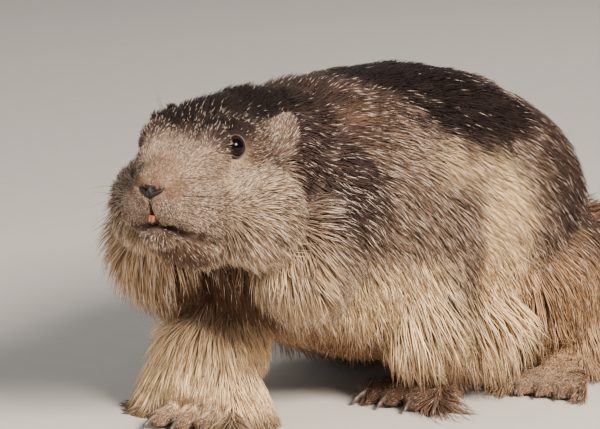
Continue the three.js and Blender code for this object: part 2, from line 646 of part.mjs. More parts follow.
let neckSolid = solidOf(surfaceOf(bodyField, boxAround([-120, -160, -10], [130, 30, 240]), 17))
  .intersect(headCut(HEAD_CUT + GAP / 2, HEAD_CUT + FAR))
  .intersect(block([-FAR, -FAR, -FAR], [FAR, NECK_CUT_Y - GAP / 2, FAR]));
const trunkWhole = solidOf(surfaceOf(trunkField, boxAround([-130, -110, -15], [130, 265, 235]), 24));
const [torsoFront, torsoBack] = [NECK_CUT_Y + GAP / 2, LOIN_CUT_Y - GAP / 2];
let torsoSolid = trunkWhole.intersect(block([-FAR, torsoFront, -FAR], [FAR, torsoBack, FAR]));
let rumpSolid = trunkWhole.intersect(block([-FAR, torsoBack + GAP, -FAR], [FAR, FAR, FAR]));

// Legs and paws
const LIMB_CELL = 15;
for (const [name, leg] of Object.entries(LEGS)) {
  const place = at(leg.x, leg.y, 0, [0, 0, leg.yaw]);
  let paw = solidOf(geometryOf(pawSolid(leg.paw)).applyMatrix4(place));
  const hand = leg.paw === FORE ? "forepaw_" : "hindfoot_";
  const side = name.split("_")[1];
  for (let n = 0; n < leg.paw.toes; n++) {
    const tip = toeTip(leg.paw, n);
    const turned = at(tip[0], tip[1] + 1, tip[2] + 2.2, [0, 0, (toeTurn(leg.paw, n) * 180) / Math.PI]);
    const claw = clawSolid(leg.paw.claw, place.clone().multiply(turned));
    paw = paw.subtract(grown(claw));
    add("claw_" + name + "_" + (n + 1), claw, materials.claw);
  }
  const box = boxAround([-130, -110, leg.hem - LIMB_CELL * 1.2], [140, 265, 150]);
  const pawBed = grown(paw, GAP * 2).add(paw.translate([0, 0, GAP]));
  const limbSolid = solidOf(surfaceOf(leg.limb, box, LIMB_CELL)).subtract(pawBed);
  const bed = grown(limbSolid).add(pawBed);
  neckSolid = neckSolid.subtract(bed);
  torsoSolid = torsoSolid.subtract(bed);
  rumpSolid = rumpSolid.subtract(bed);
  add((leg.paw === FORE ? "foreleg_" : "thigh_") + side, limbSolid, materials.pale_coat);
  add(hand + side, paw, materials.pale_coat);
}

const tailSolid = solidOf(surfaceOf(tailField, boxAround([-50, 170, 10], [60, 400, 130]), 14));
rumpSolid = rumpSolid.subtract(grown(tailSolid));
add("tail", tailSolid, materials.dark_coat);
add("head", headSolid, materials.coat);
add("neck", neckSolid, materials.coat);
add("torso", torsoSolid, materials.coat);
add("rump", rumpSolid, materials.coat);

// Each node gets its locks, cut clear of the other nodes and of the locks planted before them
const planted = [];
const crosses = (a, b) => {
  const [p, q] = [a.boundingBox(), b.boundingBox()];
  return [0, 1, 2].every((k) => p.min[k] < q.max[k] + 1 && q.min[k] < p.max[k] + 1);
};
for (const [name, { solid, material }] of cores) {
  let whole = solid;
  if (tufts.has(name)) {
    const own = tufts.get(name);
    let locks = own.slice(1).reduce((sum, lock) => sum.add(lock.thin), own[0].thin);
    for (const [other, { solid: core }] of cores)
      if (other !== name && crosses(core, locks)) locks = locks.subtract(grown(core, LOCK.clear));
    for (const thick of planted) if (crosses(thick, locks)) locks = locks.subtract(thick);
    whole = largest(solid.add(locks));
    planted.push(...own.map((lock) => lock.thick));
  }
  const mesh = new THREE.Mesh(geometryOf(whole), material);
  mesh.name = name;
  marmot.add(mesh);
}

// The part's own frame: the middle of its box, on the floor
const box = new THREE.Box3().setFromObject(marmot);
const middle = box.getCenter(new THREE.Vector3());
marmot.position.set(-middle.x, -middle.y, -box.min.z);

export default marmot;
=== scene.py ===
"""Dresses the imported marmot: one skin over the flesh, a coat of tufts, eyes, lids, nose, teeth, claws and whiskers.

Sizes are in millimetres unless they say otherwise. The body's frame has x to the animal's left, y towards its tail
and z up from the floor. The head's frame starts at the nose and turns with the head.
"""

import math

import bmesh
import bpy
import numpy as np
from mathutils import Matrix, Vector, kdtree
from mathutils.bvhtree import BVHTree


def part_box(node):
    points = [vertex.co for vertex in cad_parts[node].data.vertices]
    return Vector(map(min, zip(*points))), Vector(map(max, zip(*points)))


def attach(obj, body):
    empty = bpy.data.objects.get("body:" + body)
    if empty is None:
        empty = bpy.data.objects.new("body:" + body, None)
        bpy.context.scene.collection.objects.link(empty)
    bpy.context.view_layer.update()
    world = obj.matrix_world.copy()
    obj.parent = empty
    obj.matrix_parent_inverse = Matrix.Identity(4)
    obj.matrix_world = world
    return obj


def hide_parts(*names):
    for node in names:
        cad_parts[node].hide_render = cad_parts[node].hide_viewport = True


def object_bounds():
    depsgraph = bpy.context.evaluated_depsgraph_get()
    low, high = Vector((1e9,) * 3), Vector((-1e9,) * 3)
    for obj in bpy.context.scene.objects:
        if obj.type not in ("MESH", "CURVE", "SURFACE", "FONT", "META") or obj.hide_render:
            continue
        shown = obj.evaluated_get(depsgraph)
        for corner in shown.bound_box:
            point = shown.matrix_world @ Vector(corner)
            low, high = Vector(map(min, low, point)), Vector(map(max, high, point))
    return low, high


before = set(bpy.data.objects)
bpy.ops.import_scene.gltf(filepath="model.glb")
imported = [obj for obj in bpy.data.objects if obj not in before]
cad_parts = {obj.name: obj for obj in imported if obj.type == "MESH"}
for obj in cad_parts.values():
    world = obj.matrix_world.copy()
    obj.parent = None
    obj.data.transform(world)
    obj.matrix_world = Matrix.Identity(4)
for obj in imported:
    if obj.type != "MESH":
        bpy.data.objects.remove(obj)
cad_low, cad_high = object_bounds()
rng = np.random.default_rng(20)
MM = 0.001
VOXEL = 0.0023  # metres
SKIN_FLOOR, TIP_FLOOR = 0.8, 0.35  # least heights of the skin and of the tufts
OVER_CAD = 6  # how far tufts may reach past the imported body
FACE_BACK, FACE_LOW = 58, -52  # in the head's frame, where the skin's finer faces end
EYE_R, EYE_BARE = 7, 7.7  # the eyeball and the hairless patch round its middle
TUFTS_TO_LOCK = 9
LONG_HAIRED = ("foreleg", "tail")  # regions whose tufts have one more bend
CHUNK = 20000  # points groomed at once
CONE_FLAT = 0.56  # depth over width of the foreleg's cone

# Place of the body's frame in the part's frame, read from a claw that stands in a known place
CLAW_AT = Vector((38.062, 30.9, 6.395))
low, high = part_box("claw_fore_left_2")
SHIFT = (low + high) / 2 - CLAW_AT * MM
BODY = Matrix.Translation(SHIFT) @ Matrix.Scale(MM, 4)


def turned(place, x=0, y=0, z=0):
    """A matrix at a place, turned about x, then y, then z, in degrees."""
    spin = Matrix.Rotation(math.radians(z), 4, "Z") @ Matrix.Rotation(math.radians(y), 4, "Y")
    return Matrix.Translation(place) @ spin @ Matrix.Rotation(math.radians(x), 4, "X")


HEAD = turned((24, -158, 159), -8, 1, 11)
WORLD_HEAD = BODY @ HEAD

# Flesh under the coat
TRUNK = [
    (-64, 1, 116, 16, 16), (-52, 1, 119, 42, 42), (-30, 1, 122, 62, 60), (0, 0, 119, 72, 72), (45, -1, 110, 81, 82),
    (95, -1, 107, 86, 84), (140, 0, 104, 85, 79), (182, 0, 98, 75, 69), (210, 0, 91, 52, 51), (224, 0, 86, 20, 20),
]
SKULL = [
    (-2, -4, 6, 6), (2, -5, 12.5, 11.5), (12, -4, 17.5, 17.5), (29, 0, 21.5, 24), (46, 3.5, 28.5, 32),
    (66, 5, 35, 39), (88, 4, 39, 40), (110, 1, 34, 36), (126, 0, 14, 14),
]
HEAD_BALLS = [
    ((9.5, 10, -10.5), (11, 11, 9.5)), ((16.5, 31, -13), (14, 20, 16)), ((29, 62, -13), (24, 28, 24)),
    ((12.5, 29, 10), (11, 16, 11)), ((18.5, 50, 28.5), (13.5, 13, 8)), ((4, 5, 1.5), (6.8, 7, 6)),
    ((17, 37, 20), (11, 12, 12)), ((8, 70, 31), (20, 22, 11)),
]
HEAD_MIDDLE = [
    ((0, 15.5, -26), (9.5, 11.5, 6.5)), ((0, 48, -26), (23, 33, 15)), ((0, 72, 20), (30, 27, 25)),
    ((3, 98, 25), (30, 35, 25)), ((0.5, 6.5, -12.5), (6, 7, 5.5)),
]
NECK_BALLS = [((-47, -60, 108), (27, 32, 34)), ((38, -44, 108), (28, 30, 32)), ((5, -42, 161), (38, 52, 31)),
              ((50, 92, 54), (32, 36, 32)), ((-50, 92, 54), (32, 36, 32))]
# Paws: the palm's half sizes and shift back, then the toes: how many, turn and step between two, start, length, radius
FORE = {"palm": (17.5, 23.5, 10.5), "back": 0,
        "toes": 4, "fan": 13, "step": 9.6, "root": -11, "reach": 24, "thick": 5.2}
HIND = {"palm": (15.5, 38, 10.5), "back": 16,
        "toes": 5, "fan": 10, "step": 8, "root": -16, "reach": 21, "thick": 4.7}
# Limbs: two ends with their radii. Balls: place, half sizes and tilt. Cone: place, lower and upper radius, height
LEGS = {
    "fore_right": {"paw": FORE, "at": (-24, -44), "yaw": 14, "limbs": [((-28, -14, 88), 28, (-24, -40, 40), 20)],
                   "balls": [], "cone": ((-35, -45), 49, 20, 60)},
    "fore_left": {"paw": FORE, "at": (42, 72), "yaw": 6, "limbs": [((48, 42, 66), 28, (43, 66, 28), 17)], "balls": []},
    "hind_left": {"paw": HIND, "at": (86, 146), "yaw": 14, "limbs": [((66, 174, 44), 24, (78, 166, 24), 15)],
                  "balls": [((56, 158, 68), (38, 49, 49), 20)]},
    "hind_right": {"paw": HIND, "at": (-72, 206), "yaw": -10, "limbs": [((-62, 204, 44), 24, (-71, 214, 24), 15)],
                   "balls": [((-52, 166, 66), (38, 47, 47), 20)]},
}
TAIL = [((0, 200, 80), 15, (1, 262, 70), 12), ((1, 262, 70), 12, (4, 326, 54), 10), ((4, 326, 54), 10, (7, 352, 47), 6)]
EAR = {"at": (33.5, 77, 27.8), "turn": (-6, 28, 40), "size": (9.6, 3.4, 12.8)}


def mesh_object(name, bm=None, mesh=None):
    """A new object at the origin from a bmesh or a mesh."""
    if mesh is None:
        mesh = bpy.data.meshes.new(name)
        bm.to_mesh(mesh)
        bm.free()
    piece = bpy.data.objects.new(name, mesh)
    bpy.context.scene.collection.objects.link(piece)
    return piece


def applied(piece, *modifiers):
    """The piece with the modifiers made part of its mesh."""
    for kind, values in modifiers:
        modifier = piece.modifiers.new(kind.title(), kind)
        for key, value in values.items():
            setattr(modifier, key, value)
    bpy.context.view_layer.update()
    graph = bpy.context.evaluated_depsgraph_get()
    mesh = bpy.data.meshes.new_from_object(piece.evaluated_get(graph))
    piece.modifiers.clear()
    old = piece.data
    piece.data = mesh
    bpy.data.meshes.remove(old)
    return piece


def ball(bm, matrix, radii, parts=3):
    bmesh.ops.create_icosphere(bm, subdivisions=parts, radius=1, matrix=matrix @ Matrix.Diagonal((*radii, 1)))


def limb(bm, matrix, a, ra, b, rb):
    """A cone with round ends from a to b."""
    a, b = Vector(a), Vector(b)
    along = (b - a).to_track_quat("Z", "Y").to_matrix().to_4x4()
    bmesh.ops.create_cone(
        bm, cap_ends=True, segments=24, radius1=ra, radius2=rb, depth=(b - a).length,
        matrix=matrix @ Matrix.Translation((a + b) / 2) @ along,
    )
    ball(bm, matrix @ Matrix.Translation(a), (ra, ra, ra))
    ball(bm, matrix @ Matrix.Translation(b), (rb, rb, rb))


def loft(bm, matrix, rows):
    """A closed body through upright ellipses: y, x, z, half width and half height."""
    last = None
    for y, x, z, w, h in rows:
        ring = matrix @ Matrix.Translation((x, y, z)) @ Matrix.Rotation(math.pi / 2, 4, "X")
        ring = ring @ Matrix.Diagonal((w, h, 1, 1))
        made = bmesh.ops.create_circle(bm, cap_ends=False, segments=40, radius=1, matrix=ring)
        edges = list({e for v in made["verts"] for e in v.link_edges})
        if last:
            bmesh.ops.bridge_loops(bm, edges=last + edges)
        else:
            first = edges
        last = edges
    for rim in (first, last):
        bmesh.ops.contextual_create(bm, geom=rim)


def toe_line(paw, n):
    """Where a toe starts and ends, in its paw's frame."""
    side = n - (paw["toes"] - 1) / 2
    turn = math.radians(side * paw["fan"])
    root = Vector((side * paw["step"], paw["root"], paw["thick"] + 4))
    tip = Vector((root.x + math.sin(turn) * paw["reach"], root.y - math.cos(turn) * paw["reach"], paw["thick"] + 0.2))
    return root, tip


def ear_frame(side):
    """An ear's frame in the head's frame."""
    x, y, z = EAR["at"]
    tx, ty, tz = EAR["turn"]
    return turned((side * x, y, z), tx, side * ty, side * tz)


# One skin over all the flesh
skin_shape = bmesh.new()
loft(skin_shape, BODY, TRUNK)
loft(skin_shape, WORLD_HEAD, [(y, 0, z, w, h) for y, z, w, h in SKULL])
for side in (1, -1):
    for (x, y, z), size in HEAD_BALLS:
        ball(skin_shape, WORLD_HEAD @ Matrix.Translation((side * x, y, z)), size)
    ball(skin_shape, WORLD_HEAD @ ear_frame(side), EAR["size"])
for place, size in HEAD_MIDDLE:
    ball(skin_shape, WORLD_HEAD @ Matrix.Translation(place), size)
for place, size in NECK_BALLS:
    ball(skin_shape, BODY @ Matrix.Translation(place), size)
limb(skin_shape, BODY, (0, -42, 141), 42, (2, 8, 116), 68)
for leg in LEGS.values():
    for a, ra, b, rb in leg["limbs"]:
        limb(skin_shape, BODY, a, ra, b, rb)
    for place, size, tilt in leg["balls"]:
        ball(skin_shape, BODY @ turned(place, tilt), size)
    if "cone" in leg:
        (x, y), low_wide, high_wide, tall = leg["cone"]
        place = BODY @ Matrix.Translation((x, y, tall / 2)) @ Matrix.Diagonal((1, CONE_FLAT, 1, 1))
        bmesh.ops.create_cone(
            skin_shape, cap_ends=True, segments=32, radius1=low_wide, radius2=high_wide, depth=tall, matrix=place,
        )
    foot = BODY @ turned((*leg["at"], 0), 0, 0, leg["yaw"])
    paw = leg["paw"]
    ball(skin_shape, foot @ Matrix.Translation((0, paw["back"], paw["palm"][2] - 1)), paw["palm"])
    for n in range(paw["toes"]):
        root, tip = toe_line(paw, n)
        limb(skin_shape, foot, root, paw["thick"], tip, paw["thick"])
for a, ra, b, rb in TAIL:
    limb(skin_shape, BODY, a, ra, b, rb)
bmesh.ops.recalc_face_normals(skin_shape, faces=skin_shape.faces)
skin = mesh_object("skin", skin_shape)
applied(skin, ("REMESH", {"mode": "VOXEL", "voxel_size": VOXEL}))


def triples(rows, key, kind=np.float32):
    """The three values that each row of a mesh's data holds under a key."""
    values = np.empty(len(rows) * 3, kind)
    rows.foreach_get(key, values)
    return values.reshape(-1, 3)


def points_of(mesh):
    return triples(mesh.vertices, "co").astype(float)


def unit(rows):
    """Each row as a vector of length 1."""
    return rows / np.maximum(np.linalg.norm(rows, axis=1), 1e-6)[:, None]


def through(matrix, points):
    m = np.array(matrix)
    return points @ m[:3, :3].T + m[:3, 3]


def set_points(mesh, points):
    mesh.vertices.foreach_set("co", points.astype(np.float32).ravel())
    mesh.update()


def smoothstep(low, high, value):
    t = np.clip((value - low) / (high - low), 0, 1)
    return t * t * (3 - 2 * t)


# Joints between the forms are smoothed, but toes, ears and face keep their shape
TO_BODY, TO_HEAD, BODY_TO_HEAD = BODY.inverted(), WORLD_HEAD.inverted(), HEAD.inverted()
where = through(TO_BODY, points_of(skin.data))
set_points(skin.data, through(BODY, np.maximum(where, (-np.inf, -np.inf, SKIN_FLOOR))))
in_head = through(TO_HEAD, points_of(skin.data))
soft = smoothstep(14, 26, where[:, 2]) * (1 - 0.8 * smoothstep(54, 26, in_head[:, 1]))
for side in (1, -1):
    ear_middle = (side * EAR["at"][0], EAR["at"][1], EAR["at"][2] + 6)
    soft *= smoothstep(10, 20, np.linalg.norm(in_head - ear_middle, axis=1))
group = skin.vertex_groups.new(name="soft")
for step in range(11):
    group.add(np.flatnonzero((soft * 10).round() == step).tolist(), step / 10, "REPLACE")
applied(
    skin,
    ("SMOOTH", {"factor": 0.5, "iterations": 16, "vertex_group": "soft"}),
    ("SMOOTH", {"factor": 0.5, "iterations": 2}),
)


def on_face(polygon):
    middle = TO_HEAD @ polygon.calc_center_median()
    return middle.y < FACE_BACK and middle.z > FACE_LOW


face_shape = bmesh.new()
face_shape.from_mesh(skin.data)
near = [f for f in face_shape.faces if on_face(f)]
bmesh.ops.subdivide_edges(face_shape, edges=list({e for f in near for e in f.edges}), cuts=1, use_grid_fill=True)
bmesh.ops.triangulate(face_shape, faces=[f for f in face_shape.faces if len(f.verts) > 4])
face_shape.to_mesh(skin.data)
face_shape.free()

# Eyes: place and outward direction in the head's frame
eye_at, eye_out = {}, {}
for side, name in ((1, "eye_left"), (-1, "eye_right")):
    low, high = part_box(name)
    eye_at[name] = TO_HEAD @ ((low + high) / 2)
    eye_out[name] = Vector((side * 0.77, -0.61, 0.2)).normalized()

# Mouth, philtrum, eye sockets and ear cups are pressed into the skin
MOUTH = {"front": -19.8, "slope": math.tan(math.radians(15.5)), "end": 36, "wide": 2.3, "deep": 5.2}
PHILTRUM = {"wide": 1.1, "deep": 2, "low": -21, "high": -5}
NOSE_BED = {"wide": 8.8, "tall": 3.4, "z": -4.4, "deep": 2.4}
EAR_CUP = {"wide": 6.2, "tall": 8, "deep": 4.2}
SOCKET = {"bed": 6.3, "reach": 14, "eye_left": (84, 68), "eye_right": (64, 50)}  # and edges, degrees off the eye's axis


def mouth_height(y):
    return MOUTH["front"] - MOUTH["slope"] * np.maximum(y, 0)


def cleft_side(z):
    """How far the philtrum runs to the left at a height."""
    return smoothstep(-8, -17, z)


spot = through(TO_HEAD, points_of(skin.data))
x, y, z = spot.T
line = mouth_height(y)
slit = np.exp(-(((z - line) / MOUTH["wide"]) ** 2)) * smoothstep(MOUTH["end"], MOUTH["end"] - 8, y) * (y > -12)
inward = unit(spot - np.stack([0 * x, np.maximum(y, 14), 0 * z - 20], 1))
spot -= inward * (slit * MOUTH["deep"])[:, None]
lip = np.exp(-(((z - line - 3.4) / 2.2) ** 2)) * smoothstep(MOUTH["end"], 20, y) * (y > -12)
spot += inward * (lip * 0.8)[:, None]
cleft = np.exp(-(((x - cleft_side(z)) / PHILTRUM["wide"]) ** 2))
cleft *= (z > PHILTRUM["low"]) * (z < PHILTRUM["high"]) * (y < 8)
spot[:, 1] += cleft * PHILTRUM["deep"]
pad = np.hypot(x / NOSE_BED["wide"], (z - 0.3 * np.abs(x) - NOSE_BED["z"]) / NOSE_BED["tall"])
spot[:, 1] += NOSE_BED["deep"] * smoothstep(1.1, 0.7, pad) * (y < 8)
for side in (1, -1):
    place = ear_frame(side)
    local = through(place.inverted(), spot)
    cup = np.exp(-((local[:, 0] / EAR_CUP["wide"]) ** 2) - (((local[:, 2] - 1) / EAR_CUP["tall"]) ** 2))
    cup *= (local[:, 1] < 0.5) * (local[:, 1] > -7)
    local[:, 1] += cup * EAR_CUP["deep"]
    spot = np.where(cup[:, None] > 0.02, through(place, local), spot)
for name in eye_at:
    way = spot - eye_at[name]
    far = np.linalg.norm(way, axis=1)
    turn = np.degrees(np.arccos(np.clip(way @ np.array(eye_out[name]) / far, -1, 1)))
    pull = smoothstep(*SOCKET[name], turn) * (far < SOCKET["reach"])
    spot -= way * (pull * np.maximum(far - SOCKET["bed"], 0) / far)[:, None]
set_points(skin.data, through(WORLD_HEAD, spot))
skin.data.shade_smooth()

# Grooming guides: place, lie, length of the fur, lift off the skin in degrees, reach. Those of the head are in its
# frame, the others in the body's, and those of the legs and tail serve one side only
BODY_GUIDES = [
    ((0, -34, 190), (0, 1, 0.05), 18, 18, 26), ((0, 40, 194), (0, 1, -0.05), 22, 16, 30),
    ((0, 110, 192), (0, 1, -0.15), 24, 15, 30), ((0, 170, 174), (0, 0.9, -0.4), 24, 15, 28),
    ((0, 212, 135), (0, 0.5, -0.85), 24, 16, 26), ((0, 226, 96), (0, 0.5, -0.85), 22, 18, 22),
    ((48, -26, 166), (0.15, 0.85, -0.5), 18, 15, 26), ((58, 50, 162), (0.15, 0.8, -0.55), 21, 14, 30),
    ((58, 120, 157), (0.1, 0.75, -0.6), 22, 14, 30), ((46, 182, 145), (0, 0.6, -0.75), 24, 14, 28),
    ((64, -46, 125), (0.1, 0.75, -0.65), 20, 16, 24), ((56, -56, 150), (0.2, 0.75, -0.6), 24, 34, 15),
    ((90, 132, 104), (0.1, 0.6, -0.8), 25, 26, 15), ((76, 0, 118), (0, 0.74, -0.67), 22, 14, 28),
    ((82, 60, 112), (0, 0.74, -0.67), 23, 14, 30), ((86, 120, 106), (0, 0.66, -0.74), 23, 13, 30),
    ((66, 190, 98), (-0.1, 0.55, -0.8), 24, 14, 28), ((54, -62, 90), (0.15, 0.45, -0.88), 27, 22, 22),
    ((66, -10, 70), (0, 0.5, -0.86), 30, 18, 24), ((74, 46, 58), (-0.05, 0.4, -0.9), 44, 20, 26),
    ((74, 104, 50), (-0.05, 0.25, -0.96), 50, 20, 26), ((38, -44, 62), (-0.1, 0.35, -0.93), 20, 24, 20),
    ((44, 0, 46), (-0.1, 0.4, -0.9), 34, 22, 20), ((44, 80, 30), (-0.15, 0.5, -0.84), 30, 24, 24),
    ((0, 40, 32), (0, 0.9, -0.3), 18, 20, 26), ((0, 120, 30), (0, 0.9, -0.2), 18, 20, 26),
    ((0, -74, 96), (0, 0.1, -1), 24, 22, 22), ((0, -62, 62), (0, 0.3, -0.95), 22, 24, 22),
    ((42, -86, 108), (0.25, 0.3, -0.92), 28, 24, 20), ((50, -76, 84), (0.2, 0.2, -0.96), 30, 25, 20),
]
LEG_GUIDES = [
    ((-26, -62, 70), (-0.05, -0.1, -0.98), 26, 14, 15), ((-25, -70, 44), (0, -0.15, -0.98), 28, 12, 15),
    ((14, -48, 42), (0.36, -0.05, -0.93), 24, 13, 15), ((-68, -46, 44), (-0.42, -0.05, -0.91), 32, 14, 16),
    ((-24, -14, 40), (0, 0.3, -0.95), 24, 22, 16), ((-25, -70, 22), (0, -0.25, -0.96), 16, 12, 11),
    ((16, -42, 18), (0.45, -0.1, -0.88), 14, 13, 12), ((-74, -42, 18), (-0.7, -0.15, -0.68), 24, 14, 13),
    ((-28, -72, 14), (0.2, -0.97, -0.15), 4, 10, 12), ((-26, -90, 9), (0.2, -0.97, -0.1), 2.6, 8, 11),
    ((54, 44, 58), (0.1, 0.3, -0.95), 42, 18, 20), ((48, 62, 34), (0.1, 0.15, -0.98), 27, 16, 13),
    ((42, 50, 14), (0.1, -0.97, -0.2), 4, 10, 12), ((44, 32, 9), (0.1, -0.97, -0.1), 2.6, 8, 11),
    ((58, 74, 12), (0.3, -0.2, -0.9), 6, 10, 11), ((44, 90, 14), (0.1, 0.3, -0.9), 8, 12, 11),
    ((92, 158, 84), (0.05, 0.35, -0.93), 24, 13, 24), ((88, 166, 50), (0.05, 0.1, -0.98), 36, 16, 20),
    ((86, 164, 28), (0.1, -0.1, -0.98), 24, 18, 13), ((88, 138, 14), (0.15, -0.97, -0.2), 4.5, 10, 14),
    ((92, 112, 9), (0.2, -0.97, -0.1), 2.6, 8, 12), ((-88, 166, 84), (-0.05, 0.35, -0.93), 24, 13, 24),
    ((-78, 196, 50), (-0.05, 0.3, -0.95), 26, 15, 20), ((-74, 216, 26), (-0.1, -0.1, -0.98), 14, 20, 14),
    ((-73, 190, 14), (-0.1, -0.97, -0.2), 4.5, 10, 14), ((-76, 166, 9), (-0.15, -0.97, -0.1), 2.6, 8, 12),
    ((0, 240, 84), (0, 0.98, 0.1), 34, 28, 16), ((0, 236, 62), (0, 0.98, -0.2), 30, 28, 16),
    ((0, 290, 74), (0, 1, -0.1), 38, 30, 18), ((0, 290, 50), (0, 1, -0.25), 38, 30, 18),
    ((4, 350, 50), (0, 0.97, -0.2), 30, 22, 18),
]
HEAD_GUIDES = [
    ((0, 4, 7), (0, 1, 0.6), 2.6, 12, 6), ((0, 18, 14), (0, 1, 0.35), 3.6, 14, 9),
    ((0, 38, 28), (0, 0.95, 0.35), 6, 16, 11), ((0, 56, 41), (0, 0.95, 0.35), 10, 18, 13),
    ((0, 80, 47), (0, 1, 0), 15, 17, 15), ((0, 106, 36), (0, 0.95, -0.2), 22, 16, 17),
    ((16, 12, -6), (0.5, 0.85, -0.1), 3.6, 16, 8), ((11, 1, -15), (0.6, 0.4, -0.7), 2.3, 14, 7),
    ((19, 26, 4), (0.3, 0.93, 0.1), 5, 16, 9), ((14, 18, -22), (0.4, 0.8, -0.5), 4.5, 20, 7),
    ((0, 5, -31), (0, 0.1, -1), 6, 30, 7), ((14, 26, -36), (0.2, 0.8, -0.5), 9, 22, 11),
    ((25, 38, 2), (0.25, 0.95, -0.1), 6.5, 16, 9), ((38, 60, -4), (0.2, 0.95, -0.3), 11, 17, 12),
    ((42, 84, -6), (0.2, 0.85, -0.5), 20, 18, 15), ((33, 54, -34), (0.25, 0.72, -0.65), 17, 24, 13),
    ((37, 78, -34), (0.25, 0.55, -0.8), 27, 25, 15), ((0, 52, -46), (0, 0.5, -0.87), 22, 22, 14),
    ((0, 26, -38), (0, 0.5, -0.87), 11, 24, 9), ((18, 44, 34), (0.25, 0.9, 0.35), 6, 24, 8),
    ((32, 64, 24), (0.2, 0.97, 0), 9, 16, 10), ((34, 100, 22), (0.15, 0.9, -0.4), 20, 16, 13),
    ((28, 41, 8), (0.25, 0.95, -0.15), 4, 14, 6), ((35, 77, 39), (0.3, 0.35, 0.9), 2.4, 12, 9),
    ((37, 72, 28), (0.2, 0.3, 0.93), 2.2, 12, 9), ((36, 86, 30), (0.2, 0.5, 0.85), 7, 20, 7),
]

